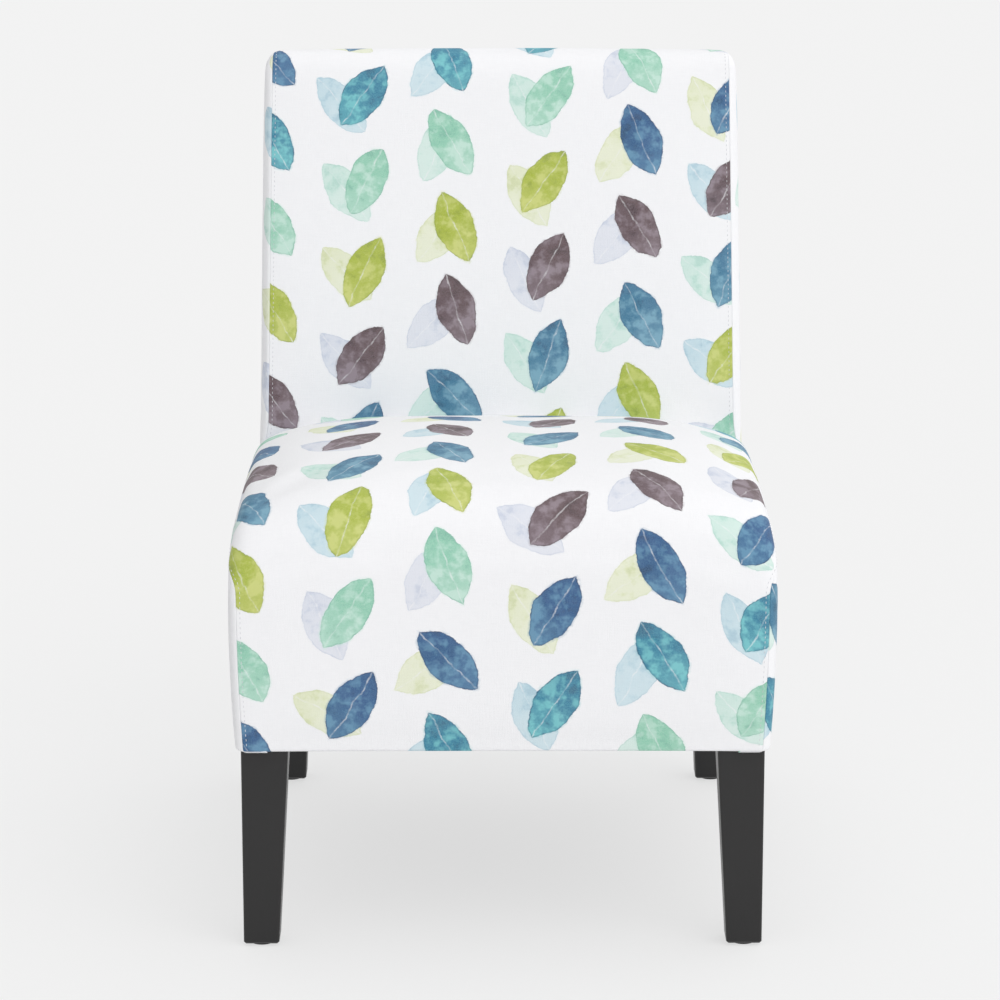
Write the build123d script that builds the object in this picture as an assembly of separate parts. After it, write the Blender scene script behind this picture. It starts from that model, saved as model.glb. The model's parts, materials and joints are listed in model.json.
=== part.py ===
from build123d import *
import math
import os

os.makedirs("parts", exist_ok=True)

# Armless accent chair: an upholstered seat box, a leaning upholstered back and four tapered wooden legs.
# Lengths are millimetres. While a piece is made, X runs across the chair, Y runs back from the front
# of the seat and Z is up from the floor. The last step moves the Y origin to the middle of the chair.

# Overall sizes
seat_width = 560.0
seat_height = 506.0
seat_depth_at_hem = 490.0
back_length = 674.0
hem_height = 214.0

# Form of the seat: a crowned top that rolls over the front edge
crown_back = 215.0
seat_top_radius = 1050.0
seat_cross_radius = 3000.0
waterfall_radius = 68.0
front_belly_radius = 1700.0
front_belly_height = 330.0
side_belly_radius = 2800.0
side_belly_drop = 131.0
side_flank_length = 25.0
shoulder_radius = 180.0
shoulder_turn = 50.0
seam_round = 12.0
seat_seam_inset = 8.0

# Form of the back: a leaning slab with a slightly crowned face
back_lean = 12.0
back_thickness = 100.0
back_face_radius = 8000.0
back_face_middle = 400.0
back_cross_radius = 4800.0
back_front_round = 25.0
back_rear_round = 18.0
back_corner_round = 22.0
back_seam_inset = 9.0
back_hem_inset = 5.5
back_belly_length = 140.0
back_waist_length = 250.0
back_waist_inset = 2.5
back_top_inset = 7.5
back_tuck_length = 185.0

# Cover, padding and the small gaps between soft pieces
cover_thickness = 2.0
cover_hem_turn = 24.0
soft_gap = 0.3
side_padding = 14.0
front_padding = 16.0
back_rear_padding = 6.0

# Wooden frame
rail_thickness = 18.0
rail_height_share = 0.514
spring_rail_height_share = 0.64
spring_rail_past_hem = 10.0
bottom_rail_length = 120.0
post_width = 30.0
post_depth = 42.0
top_rail_height = 60.0
top_rail_drop = 22.0
lumbar_rail_height = 50.0
lumbar_rail_length = 190.0
block_length = 90.0
block_wing = 18.0
block_height = 35.0

# Springs: sinuous wire, clipped to the rails
spring_count = 4
spring_spacing = 110.0
spring_loops = 12
spring_wire = 3.8
spring_run = 14.0
spring_arch = 26.0
clip_thickness = 1.2
clip_width = 16.0
clip_foot = 8.0
tie_wire = 2.4
tie_count = 2
tie_bend_gap = 32.0
tie_anchor_drop = 12.0
tie_bend_radius = 8.0
deck_thickness = 3.0
deck_side_gap = 8.0

# Webbing of the back
webbing_width = 50.0
webbing_thickness = 1.5
webbing_spacing = 110.0
webbing_count = 3
cross_webbing_spacing = 115.0
cross_webbing_drop = 22.0

# Legs and their fixings
leg_top = 49.0
leg_foot = 37.0
leg_side_inset = 10.0
leg_front_setback = 12.0
leg_rear_setback = 8.0
rear_leg_rake = 45.0
leg_edge_round = 3.0
leg_foot_bevel = 2.0
bolt_radius = 4.0
bolt_leg_depth = 35.0
bolt_from_rail = 11.0
bolt_clearance = 0.1
bolt_end = 2.0
nut_width = 17.0
nut_thickness = 6.5
glide_radius = 12.0
glide_thickness = 3.0

# Dust cover under the seat
dust_thickness = 0.8
dust_inset = 14.0
dust_leg_gap = 1.0

# One overrun serves every cut
overrun = 30.0

# Places worked out from the sizes above
seat_half = seat_width / 2
side_belly_height = seat_height - side_belly_drop
shoulder_height = side_belly_height + side_flank_length
lean = math.radians(back_lean)
frame_half = seat_half - cover_thickness - side_padding
frame_front = cover_thickness + front_padding
rail_inner = frame_half - rail_thickness
spring_rail_front = seat_depth_at_hem + spring_rail_past_hem
deck_half_width = rail_inner - deck_side_gap
tie_bend_reach = rail_inner - tie_bend_gap
rail_bottom = hem_height + cover_thickness
rail_height = rail_height_share * (seat_height - hem_height)
rail_top = rail_bottom + rail_height
lining = cover_thickness + soft_gap
post_rear = back_thickness - cover_thickness - back_rear_padding
post_front = post_rear - post_depth
overall_height = hem_height + back_length
frame_length = back_length - top_rail_drop
overall_depth = (
    seat_depth_at_hem
    + (back_thickness - back_rear_round) * math.cos(lean)
    + (back_length - back_rear_round) * math.sin(lean)
    + back_rear_round
)

# The back is drawn upright, with Y through its thickness and Z along its length, and then leaned
lean_back = Pos(0, seat_depth_at_hem, hem_height) * Rot(-back_lean, 0, 0)

pieces = {}


def back_y(through, height):
    """Depth of the leaning plane that lies so far through the back, at a height above the floor."""
    return seat_depth_at_hem + through / math.cos(lean) + (height - hem_height) * math.tan(lean)


def block(x_range, y_range, z_range):
    """A square-cut block between two places on each axis."""
    size = [high - low for low, high in (x_range, y_range, z_range)]
    middle = [(high + low) / 2 for low, high in (x_range, y_range, z_range)]
    return Pos(*middle) * Box(*size)


def across(half_width):
    """The range of X between two places that mirror each other."""
    return (-half_width, half_width)


def mirrored(shape):
    """The same piece on the other side of the chair."""
    return mirror(shape, Plane.YZ)


def group(shapes):
    """Separate solids kept together as one piece."""
    return Compound([solid for shape in shapes for solid in shape.solids()])


def sided(name, left_shape):
    """Keep a left piece and its mirror image on the right."""
    pieces[name.format("left")] = left_shape
    pieces[name.format("right")] = mirrored(left_shape)


def disc(across_place, up_place, radius):
    return Pos(across_place, up_place) * Circle(radius)


def farthest(sketch, across_sign, up_sign):
    """The corner of an outline that lies farthest towards one side and one end."""
    return sketch.vertices().sort_by(lambda v: across_sign * v.X + up_sign * v.Y)[-1]


def seat_side_profile(inset):
    """Side view of the seat, drawn with depth across and height up, shrunk by an inset all round."""
    reach = seat_depth_at_hem + back_thickness + seat_height
    belly = disc(front_belly_radius, front_belly_height, front_belly_radius - inset)
    crown = disc(crown_back, seat_height - seat_top_radius, seat_top_radius - inset)
    span = Pos(reach / 2, hem_height) * Rectangle(reach * 2, seat_height * 2)
    near = Pos(reach / 2, seat_height / 2) * Rectangle(reach, seat_height)
    profile = belly & crown & span & near
    return fillet(farthest(profile, -1, 1), waterfall_radius - inset)


def seat_front_outline(inset):
    """Front view of the seat: bellied sides that lean in over the shoulders."""
    side = seat_half - inset
    turn = math.radians(shoulder_turn)
    low = hem_height - overrun
    belly_centre = seat_half - side_belly_radius
    belly_low = math.asin((side_belly_height - low) / (side_belly_radius - inset))
    belly = CenterArc(
        (belly_centre, side_belly_height),
        side_belly_radius - inset,
        -math.degrees(belly_low),
        math.degrees(belly_low),
    )
    flank = Line((side, side_belly_height), (side, shoulder_height))
    shoulder = CenterArc(
        (seat_half - shoulder_radius, shoulder_height), shoulder_radius - inset, 0, shoulder_turn
    )
    top = (
        seat_half - shoulder_radius + (shoulder_radius - inset) * math.cos(turn),
        shoulder_height + (shoulder_radius - inset) * math.sin(turn),
    )
    bottom = (belly_centre + (side_belly_radius - inset) * math.cos(belly_low), low)
    cap = Line(top, (0, top[1]))
    spine = Line((0, top[1]), (0, low))
    base = Line((0, low), bottom)
    half = make_face([belly, flank, shoulder, cap, spine, base])
    return half + mirror(half, Plane.YZ)


def seat_sides(inset):
    """The prism that the seat's front view gives, longer than the seat."""
    reach = seat_depth_at_hem + back_thickness + seat_height
    return extrude(Plane.XZ * seat_front_outline(inset), reach, both=True)


def seat_form(inset):
    """The whole upholstered seat, shrunk by an inset: crowned, bellied and rounded at its seams."""
    spread = math.degrees(math.atan2(seat_width, seat_cross_radius))
    cross_axis = Axis((0, 0, seat_height - seat_cross_radius), (0, 1, 0))
    profile = (Plane.YZ * seat_side_profile(inset)).rotate(cross_axis, -spread)
    form = revolve(profile, cross_axis, 2 * spread) & seat_sides(inset)
    form = form & block(
        across(seat_width),
        (-overrun, seat_depth_at_hem + overall_height),
        (hem_height + inset, overall_height),
    )
    seams = [
        edge
        for edge in form.edges()
        if edge.geom_type != GeomType.LINE
        and edge.bounding_box().max.Z > hem_height + inset + overrun
        and edge.bounding_box().min.Y < seat_depth_at_hem
    ]
    return fillet(seams, seam_round - inset)


def back_side_profile(inset):
    """Side view of the back before it leans: a gently bowed face rolled over at the top."""
    top = back_length - inset
    face = disc(back_face_radius, back_face_middle, back_face_radius - inset)
    span = Pos(back_thickness, (top - overrun) / 2) * Rectangle(
        4 * back_thickness, top + overrun
    )
    near = Pos(back_thickness, back_length / 2) * Rectangle(4 * back_thickness, 2 * back_length)
    profile = face & span & near
    return fillet(farthest(profile, -1, 1), back_front_round - inset)


def back_front_outline(inset, corner, rise):
    """Front view of the back before it leans, widest at the seat and rounded at the top corners."""
    top = back_length - inset + rise
    hem_side = seat_half - back_hem_inset - inset
    belly_side = seat_half - inset
    waist_side = seat_half - back_waist_inset - inset
    top_side = seat_half - back_top_inset - inset
    low = Line((hem_side, -overrun), (hem_side, 0))
    belly = ThreePointArc(
        (hem_side, 0), (belly_side, back_belly_length), (waist_side, back_waist_length)
    )
    side = Line((waist_side, back_waist_length), (top_side, top))
    cap = Line((top_side, top), (0, top))
    spine = Line((0, top), (0, -overrun))
    base = Line((0, -overrun), (hem_side, -overrun))
    half = make_face([low, belly, side, cap, spine, base])
    half = fillet(farthest(half, 1, 1), corner - inset)
    return half + mirror(half, Plane.YZ)


def back_sides(inset, corner, rise=0):
    """The prism that the back's front view gives, from well in front of it to its rear face."""
    outline = Plane.XZ * back_front_outline(inset, corner, rise)
    through = 2 * back_thickness
    return Pos(0, back_thickness - inset - through, 0) * extrude(outline, -through)


def back_face_form(inset):
    """Everything behind the crowned face of the back, before it leans, wider than the chair."""
    spread = math.degrees(math.atan2(seat_width, back_cross_radius))
    cross_axis = Axis((0, back_cross_radius, 0), (0, 0, 1))
    profile = (Plane.YZ * back_side_profile(inset)).rotate(cross_axis, -spread)
    return revolve(profile, cross_axis, 2 * spread)


def back_form(inset):
    """The whole upholstered back, leaned into place and cut level at the hem."""
    form = back_face_form(inset) & back_sides(inset, back_corner_round)
    upper = block(
        across(seat_width),
        (-back_thickness, back_thickness - inset),
        (-overrun, back_length - inset),
    )
    rear_edge = upper.edges().filter_by(Axis.X).sort_by(lambda e: e.center().Y + e.center().Z)[-1]
    form = form & fillet(rear_edge, back_rear_round - inset)
    above_hem = block(
        across(seat_width),
        (0, seat_depth_at_hem + overall_height),
        (hem_height + inset, overall_height + overrun),
    )
    return (lean_back * form) & above_hem


def leaning_block(x_range, through_range, length_range):
    """A square-cut block inside the leaning back."""
    return lean_back * block(x_range, through_range, length_range)


def in_front_of(through):
    """Everything in front of a leaning plane."""
    return leaning_block(
        across(seat_width), (-2 * overall_depth, through), (-overall_height, 2 * overall_height)
    )


# Seat cover: one shell, cut along the two side seams into a long middle panel and two side panels
behind_face = lean_back * back_face_form(-soft_gap)
seat_outside = seat_form(0)
seat_inside = seat_form(cover_thickness)
hem_opening = block(
    across(seat_half - cover_hem_turn),
    (cover_hem_turn, overall_depth),
    (hem_height - overrun, rail_bottom + overrun),
)
seat_shell = seat_outside - seat_inside - hem_opening - behind_face
seat_shell = seat_shell & in_front_of(back_thickness / 2)
middle_panel = seat_sides(seat_seam_inset)
pieces["seat_cover"] = seat_shell & middle_panel
left_half = block(
    (-seat_width, 0), (-overrun, 2 * overall_depth), (-overrun, 2 * overall_height)
)
sided("{}_seat_side_cover", (seat_shell - middle_panel) & left_half)

# Back cover: front and top in one panel, a boxing strip down each side and a rear panel to the hem
back_shell = back_form(0) - back_form(cover_thickness)
back_shell = back_shell - block(
    across(seat_half - cover_hem_turn),
    (0, back_y(back_thickness - cover_hem_turn, hem_height)),
    (hem_height - overrun, rail_bottom + overrun),
)
rear_sheet = leaning_block(
    across(seat_half),
    (back_thickness - cover_thickness, back_thickness + overrun),
    (-overrun, back_length - back_rear_round),
)
middle_strip = lean_back * back_sides(back_seam_inset, back_corner_round, overrun)
pieces["outside_back_cover"] = back_shell & rear_sheet
back_wrap = back_shell - rear_sheet
pieces["inside_back_cover"] = (back_wrap & middle_strip) & leaning_block(
    across(seat_half),
    (-back_thickness, 2 * back_thickness),
    (back_tuck_length, back_length + overrun),
)
sided("{}_back_side_cover", (back_wrap - middle_strip) & left_half)

# Seat rails. Side rails run back to the rear of the leaning frame
rail_span = (rail_bottom, rail_top)
pieces["front_rail"] = block(across(frame_half), (frame_front, frame_front + rail_thickness), rail_span)
sided(
    "{}_side_rail",
    block((-frame_half, -rail_inner), (frame_front + rail_thickness, overall_depth), rail_span)
    & in_front_of(post_rear),
)
spring_rail_bottom = rail_top - spring_rail_height_share * rail_height
pieces["spring_rail"] = block(
    across(rail_inner),
    (spring_rail_front, spring_rail_front + rail_thickness),
    (spring_rail_bottom, rail_top),
)
above_rail_bottom = block(
    across(seat_width), (0, 2 * overall_depth), (rail_bottom, 2 * overall_height)
)
pieces["rear_bottom_rail"] = above_rail_bottom & leaning_block(
    across(rail_inner - post_width),
    (post_rear - rail_thickness, post_rear),
    (-overrun, bottom_rail_length),
)

# Corner blocks: a square corner with its inner corner cut away, bored for the leg's bolt
block_top = rail_bottom + block_height
rear_block_back = back_y(post_rear - rail_thickness, rail_bottom)
leg_outer = seat_half - leg_side_inset
front_corner_y = frame_front + rail_thickness
bolt_x = rail_inner - bolt_from_rail
front_bolt_y = front_corner_y + bolt_from_rail
rear_bolt_y = rear_block_back - bolt_from_rail
bolt_bore = bolt_radius + bolt_clearance


def upright_plug(x_place, y_place, z_range, radius):
    """An upright round plug, for a bore or a fixing."""
    height = z_range[1] - z_range[0]
    return Pos(x_place, y_place, (z_range[0] + z_range[1]) / 2) * Cylinder(radius, height)


def corner_block(corner_y, inward):
    """A left corner block whose square corner touches a side rail; inward is its Y direction."""
    corner_x = -rail_inner
    cut = block_length - block_wing
    plan = [
        (0, 0),
        (block_length, 0),
        (block_length, block_wing),
        (cut, block_wing),
        (block_wing, cut),
        (block_wing, block_length),
        (0, block_length),
    ]
    points = [(corner_x + x, corner_y + inward * y) for x, y in plan]
    outline = make_face(Polyline(*points, close=True))
    return extrude(Pos(0, 0, rail_bottom) * outline, block_height)


bolt_span = (hem_height - bolt_leg_depth, block_top + nut_thickness + bolt_end)
left_blocks = {
    "front": corner_block(front_corner_y, 1),
    "rear": corner_block(rear_block_back, -1),
}
bolt_places = {"front": front_bolt_y, "rear": rear_bolt_y}
for end, wood in left_blocks.items():
    bore = upright_plug(-bolt_x, bolt_places[end], (0, block_top + overrun), bolt_bore)
    sided("{}_" + end + "_corner_block", wood - bore)

# Back frame: two posts against the side rails, a top rail and a lumbar rail between them
post = leaning_block(
    (-rail_inner, -rail_inner + post_width), (post_front, post_rear), (-overrun, frame_length)
) & block(across(seat_width), (0, 2 * overall_depth), (block_top, 2 * overall_height))
nut_room_half = nut_width / 2 + soft_gap
nut_room = block(
    (-bolt_x - nut_room_half, -bolt_x + nut_room_half),
    (rear_bolt_y - nut_room_half, rear_bolt_y + nut_room_half),
    (rail_bottom, bolt_span[1] + soft_gap),
)
sided("{}_back_post", post - nut_room)
webbing_front = post_front - webbing_thickness
rail_between = across(rail_inner - post_width)
pieces["back_top_rail"] = leaning_block(
    rail_between, (webbing_front, post_rear), (frame_length - top_rail_height, frame_length)
)
pieces["lumbar_rail"] = leaning_block(
    rail_between,
    (webbing_front, post_rear),
    (lumbar_rail_length, lumbar_rail_length + lumbar_rail_height),
)

# Webbing: cross straps on the posts, upright straps in front of them on the two rails
cross_webbing_top = frame_length - top_rail_height - cross_webbing_drop
cross_straps = [
    leaning_block(
        across(rail_inner),
        (webbing_front, post_front),
        (
            cross_webbing_top - n * cross_webbing_spacing - webbing_width,
            cross_webbing_top - n * cross_webbing_spacing,
        ),
    )
    for n in range(webbing_count)
]
upright_straps = [
    leaning_block(
        (
            (n - (webbing_count - 1) / 2) * webbing_spacing - webbing_width / 2,
            (n - (webbing_count - 1) / 2) * webbing_spacing + webbing_width / 2,
        ),
        (webbing_front - webbing_thickness, webbing_front),
        (lumbar_rail_length + webbing_thickness, frame_length - webbing_thickness),
    )
    for n in range(webbing_count)
]
pieces["back_cross_webbing"] = group(cross_straps)
pieces["back_upright_webbing"] = group(upright_straps)

# Sinuous springs: straight runs across, joined by half turns, arched from the front rail to the spring rail
wire_radius = spring_wire / 2
spring_front = frame_front + rail_thickness / 2
spring_rear = spring_rail_front + rail_thickness / 2
spring_end_height = rail_top + clip_thickness + soft_gap + wire_radius
spring_chord = spring_rear - spring_front
spring_radius = spring_chord**2 / (8 * spring_arch) + spring_arch / 2
arc_middle = (spring_front + spring_rear) / 2
arc_centre_height = spring_end_height + spring_arch - spring_radius
arc_half_angle = math.asin(spring_chord / 2 / spring_radius)


def on_arch(share, lift):
    """Depth and height of a place on the spring arch, from 0 at the front to 1 at the rear."""
    angle = (2 * share - 1) * arc_half_angle
    radius = spring_radius + lift
    return (arc_middle + radius * math.sin(angle), arc_centre_height + radius * math.cos(angle))


def spring_path(x_middle):
    """Centre line of one spring."""
    half_run = spring_run / 2
    lines = []
    for n in range(spring_loops + 1):
        side = 1 if n % 2 else -1
        y_here, z_here = on_arch(n / spring_loops, 0)
        start = (x_middle - side * half_run, y_here, z_here)
        end = (x_middle + side * half_run, y_here, z_here)
        lines.append(Line(start, end))
        if n < spring_loops:
            y_next, z_next = on_arch((n + 1) / spring_loops, 0)
            bend = math.hypot(y_next - y_here, z_next - z_here) / 2
            crest = (end[0] + side * bend, (y_here + y_next) / 2, (z_here + z_next) / 2)
            lines.append(ThreePointArc(end, crest, (end[0], y_next, z_next)))
    return Wire(lines)


def sinuous_spring(x_middle):
    """Wire, drawn four-sided, swept along the spring's centre line."""
    path = spring_path(x_middle)
    section = Plane(origin=path @ 0, z_dir=path % 0) * RegularPolygon(wire_radius, 4)
    return sweep(section, path)


spring_places = [(n - (spring_count - 1) / 2) * spring_spacing for n in range(spring_count)]
pieces["seat_springs"] = group([sinuous_spring(x) for x in spring_places])
pitch = spring_chord / spring_loops
print("least gap between neighbouring runs of a spring", round(pitch - spring_wire, 2))

# Spring clips: a strip nailed on the rail and folded over the end run of a spring, open to the outside
fold_inner = wire_radius + soft_gap
fold_outer = fold_inner + clip_thickness


def spring_clip():
    """A clip round a wire at the origin, with the middle of the chair towards +Y."""
    side_view = Polyline(
        (-clip_foot, -fold_outer),
        (fold_outer, -fold_outer),
        (fold_outer, fold_outer),
        (-fold_inner, fold_outer),
        (-fold_inner, fold_inner),
        (fold_inner, fold_inner),
        (fold_inner, -fold_inner),
        (-clip_foot, -fold_inner),
        close=True,
    )
    return extrude(Plane.YZ * make_face(side_view), clip_width / 2, both=True)


clips = [
    Pos(x, y, spring_end_height) * Rot(0, 0, turn) * spring_clip()
    for x in spring_places
    for y, turn in ((spring_front, 0), (spring_rear, 180))
]
pieces["spring_clips"] = group(clips)

# Tie wires lie under the springs from side to side and go down into the side rails
def tie_wire_form(share):
    y_place, z_arch = on_arch(share, -wire_radius - tie_wire / 2 - soft_gap)
    z_end = rail_top - tie_anchor_drop
    route = FilletPolyline(
        (-rail_inner, y_place, z_end),
        (-tie_bend_reach, y_place, z_arch),
        (tie_bend_reach, y_place, z_arch),
        (rail_inner, y_place, z_end),
        radius=tie_bend_radius,
    )
    section = Plane(origin=route @ 0, z_dir=route % 0) * RegularPolygon(tie_wire / 2, 6)
    inside_rails = block(
        across(rail_inner), (0, overall_depth), (hem_height, seat_height)
    )
    return sweep(section, route) & inside_rails


pieces["spring_tie_wires"] = group(
    [tie_wire_form((n + 1) / (tie_count + 1)) for n in range(tie_count)]
)

# Deck cloth over the springs, between the rails, and the hollow that it leaves under the seat foam
deck_bottom_lift = wire_radius + soft_gap
deck_top_lift = deck_bottom_lift + deck_thickness
groove_top = spring_end_height + fold_outer + soft_gap
rail_gap = (frame_front + rail_thickness, spring_rail_front)


def under_arch(lift, half_width, y_range):
    """The space under the arch, raised by a lift, between two depths."""
    arch = disc(arc_middle, arc_centre_height, spring_radius + lift)
    middle = ((y_range[0] + y_range[1]) / 2, (rail_top + seat_height) / 2)
    slot = Pos(*middle) * Rectangle(y_range[1] - y_range[0], seat_height - rail_top + 2 * overrun)
    return extrude(Plane.YZ * (arch & slot), half_width, both=True)


deck_range = (rail_gap[0] + soft_gap, rail_gap[1] - soft_gap)
pieces["spring_deck"] = under_arch(deck_top_lift, deck_half_width, deck_range) - under_arch(
    deck_bottom_lift, deck_half_width + overrun, (rail_gap[0] - overrun, rail_gap[1] + overrun)
)
spring_reach = spring_places[-1] + spring_run / 2 + pitch
hollow = under_arch(deck_top_lift + soft_gap, rail_inner, rail_gap)
for y_low, y_high in (
    (frame_front + soft_gap, rail_gap[0] + soft_gap),
    (rail_gap[1] - soft_gap, rail_gap[1] + rail_thickness - soft_gap),
):
    hollow = hollow + block(across(spring_reach), (y_low, y_high), (rail_top - overrun, groove_top))

# Seat foam and the padding round the rails, cut from the seat's inner form
soft_seat = (seat_form(lining) - behind_face) & in_front_of(back_thickness / 2)
above_rails = block(
    across(seat_width), (-overrun, 2 * overall_depth), (rail_top + soft_gap, 2 * overall_height)
)
seat_foam = (soft_seat & above_rails) - hollow
below_foam = block(
    across(seat_width), (-overrun, 2 * overall_depth), (-overrun, rail_top)
)
outside_frame = soft_seat & below_foam
pieces["seat_foam"] = seat_foam
pieces["front_rail_pad"] = outside_frame & block(
    across(frame_half - soft_gap), (-overrun, frame_front - soft_gap), (0, overall_height)
)
sided(
    "{}_rail_pad",
    outside_frame
    & block((-seat_width, -frame_half - soft_gap), (-overrun, overall_depth), (0, overall_height)),
)

# Back foam: a hood of foam over the front, the top and the sides of the back frame
soft_back = back_form(lining)
foam_rear = webbing_front - webbing_thickness - soft_gap
frame_room = leaning_block(
    across(rail_inner + soft_gap),
    (foam_rear, 2 * back_thickness),
    (-2 * overrun, frame_length + soft_gap),
)
hood_part = leaning_block(
    across(seat_width),
    (-back_thickness, post_rear),
    (back_tuck_length, back_length + overrun),
)
clear_of_rails = block(
    across(seat_width), (0, 2 * overall_depth), (rail_top + soft_gap, 2 * overall_height)
)
pieces["back_foam"] = (soft_back - frame_room) & hood_part & clear_of_rails
pieces["rear_wadding"] = soft_back & leaning_block(
    across(seat_half - back_top_inset - back_corner_round),
    (post_rear + soft_gap, 2 * back_thickness),
    (-overrun, back_length - back_rear_round),
)

# Legs: square, tapered on their inner faces; the rear pair rakes back
leg_base = glide_thickness


def tapered_leg(top_y, foot_y, y_sign):
    """A left leg, cut from its front view and its side view, with its outer faces at the given depths."""
    front_view = Polyline(
        (-leg_outer, leg_base),
        (-leg_outer + leg_foot, leg_base),
        (-leg_outer + leg_top, hem_height),
        (-leg_outer, hem_height),
        close=True,
    )
    side_view = Polyline(
        (foot_y, leg_base),
        (foot_y + y_sign * leg_foot, leg_base),
        (top_y + y_sign * leg_top, hem_height),
        (top_y, hem_height),
        close=True,
    )
    wood = extrude(Plane.XZ * make_face(front_view), 2 * overall_depth, both=True)
    wood = wood & extrude(Plane.YZ * make_face(side_view), seat_width, both=True)
    ends = wood.edges().group_by(Axis.Z)
    upright = [edge for edge in wood.edges() if edge not in ends[0] and edge not in ends[-1]]
    wood = fillet(upright, leg_edge_round)
    return chamfer(wood.edges().group_by(Axis.Z)[0], leg_foot_bevel)


rear_leg_y = back_y(back_thickness, hem_height) - leg_rear_setback
leg_outer_y = {
    "front": (leg_front_setback, leg_front_setback, 1),
    "rear": (rear_leg_y, rear_leg_y + rear_leg_rake, -1),
}
glides = []
bolts = []
nuts = []
for end, (top_y, foot_y, y_sign) in leg_outer_y.items():
    bolt_y = bolt_places[end]
    bore_span = (bolt_span[0] - soft_gap, hem_height + overrun)
    leg = tapered_leg(top_y, foot_y, y_sign) - upright_plug(-bolt_x, bolt_y, bore_span, bolt_bore)
    sided("{}_" + end + "_leg", leg)
    glide_y = foot_y + y_sign * leg_foot / 2
    glide = upright_plug(-leg_outer + leg_foot / 2, glide_y, (0, glide_thickness), glide_radius)
    bolt = upright_plug(-bolt_x, bolt_y, bolt_span, bolt_radius)
    nut = block(
        (-bolt_x - nut_width / 2, -bolt_x + nut_width / 2),
        (bolt_y - nut_width / 2, bolt_y + nut_width / 2),
        (block_top, block_top + nut_thickness),
    ) - upright_plug(-bolt_x, bolt_y, (hem_height, block_top + overrun), bolt_bore)
    glides += [glide, mirrored(glide)]
    bolts += [bolt, mirrored(bolt)]
    nuts += [nut, mirrored(nut)]
pieces["leg_glides"] = group(glides)
pieces["leg_bolts"] = group(bolts)
pieces["leg_nuts"] = group(nuts)

# Dust cover under the frame, notched round the legs
dust_half = seat_half - dust_inset
dust_rear = back_y(back_thickness, hem_height) - dust_inset
dust_sheet = block(
    across(dust_half), (dust_inset, dust_rear), (hem_height - dust_thickness, hem_height)
)
for top_y, _, y_sign in leg_outer_y.values():
    inner_y = top_y + y_sign * (leg_top + dust_leg_gap)
    far_y = top_y - y_sign * overall_depth
    notch = block(
        (-seat_width, -leg_outer + leg_top + dust_leg_gap),
        (min(inner_y, far_y), max(inner_y, far_y)),
        (0, overall_height),
    )
    dust_sheet = dust_sheet - notch - mirrored(notch)
pieces["dust_cover"] = dust_sheet

# The Y origin moves to the middle of the chair, and every piece is written
centred = Pos(0, -overall_depth / 2, 0)
for name, shape in pieces.items():
    export_step(centred * shape, f"parts/{name}.step")
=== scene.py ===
"""Armless accent chair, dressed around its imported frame.

Everything is in metres. X runs across the chair, Y towards its back and Z up from the floor.
"""

import json
import logging
import math
from dataclasses import dataclass, field
from enum import Enum

import bmesh
import bpy
import numpy as np
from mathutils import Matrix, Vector, noise
from mathutils.bvhtree import BVHTree


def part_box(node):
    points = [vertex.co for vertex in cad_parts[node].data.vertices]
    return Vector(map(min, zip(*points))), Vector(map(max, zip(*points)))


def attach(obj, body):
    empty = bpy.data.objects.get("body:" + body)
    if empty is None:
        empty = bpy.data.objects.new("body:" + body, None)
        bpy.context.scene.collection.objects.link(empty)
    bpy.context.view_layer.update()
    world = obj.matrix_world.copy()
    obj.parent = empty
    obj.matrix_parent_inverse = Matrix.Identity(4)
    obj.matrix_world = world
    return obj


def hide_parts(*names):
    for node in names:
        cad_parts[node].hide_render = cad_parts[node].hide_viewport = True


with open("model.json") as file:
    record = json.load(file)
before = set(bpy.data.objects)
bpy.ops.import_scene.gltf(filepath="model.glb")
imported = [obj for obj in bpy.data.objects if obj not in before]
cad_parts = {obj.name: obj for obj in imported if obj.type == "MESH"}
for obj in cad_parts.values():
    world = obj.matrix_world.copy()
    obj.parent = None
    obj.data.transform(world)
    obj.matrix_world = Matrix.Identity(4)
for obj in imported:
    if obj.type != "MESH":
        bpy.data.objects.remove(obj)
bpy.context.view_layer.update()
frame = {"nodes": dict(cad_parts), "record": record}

log = logging.getLogger("accent_chair")

MM = 0.001
UV_LAYER = "cloth"
PHOTO_WIDTH_PX = 1000

Array = np.ndarray
Socket = bpy.types.NodeSocket
Value = float | tuple | Socket


class Side(Enum):
    """The two sides of the chair as someone facing its front sees them."""

    LEFT = -1
    RIGHT = 1

    @property
    def word(self) -> str:
        """The side's name in lower case."""
        return self.name.lower()


def srgb(red: float, green: float, blue: float) -> tuple[float, float, float, float]:
    """Turns a screen colour into the linear colour that a shader reads.

    Args:
        red: Red from 0 to 255.
        green: Green from 0 to 255.
        blue: Blue from 0 to 255.

    Returns:
        The linear colour with full alpha.
    """
    parts = []
    for level in (red, green, blue):
        share = level / 255
        parts.append(share / 12.92 if share <= 0.04045 else ((share + 0.055) / 1.055) ** 2.4)
    return (*parts, 1.0)


def unit(vectors: Array) -> Array:
    """Scales each vector of an array to length 1."""
    return vectors / np.maximum(np.linalg.norm(vectors, axis=-1, keepdims=True), 1e-12)


def smooth(value: Array | float, low: float, high: float) -> Array | float:
    """Rises smoothly from 0 at low to 1 at high."""
    share = np.clip((np.asarray(value, float) - low) / (high - low), 0, 1)
    return share * share * (3 - 2 * share)


def turn_between(start: Array, end: Array, share: Array) -> Array:
    """Turns one set of unit vectors towards another along the shorter arc.

    Args:
        start: Unit vectors, one per row.
        end: Unit vectors, one per row.
        share: How far to turn, from 0 to 1, one number per row.

    Returns:
        The turned unit vectors.
    """
    angle = np.arccos(np.clip((start * end).sum(-1), -1, 1))[:, None]
    share = share[:, None]
    return (np.sin((1 - share) * angle) * start + np.sin(share * angle) * end) / np.sin(angle)


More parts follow.
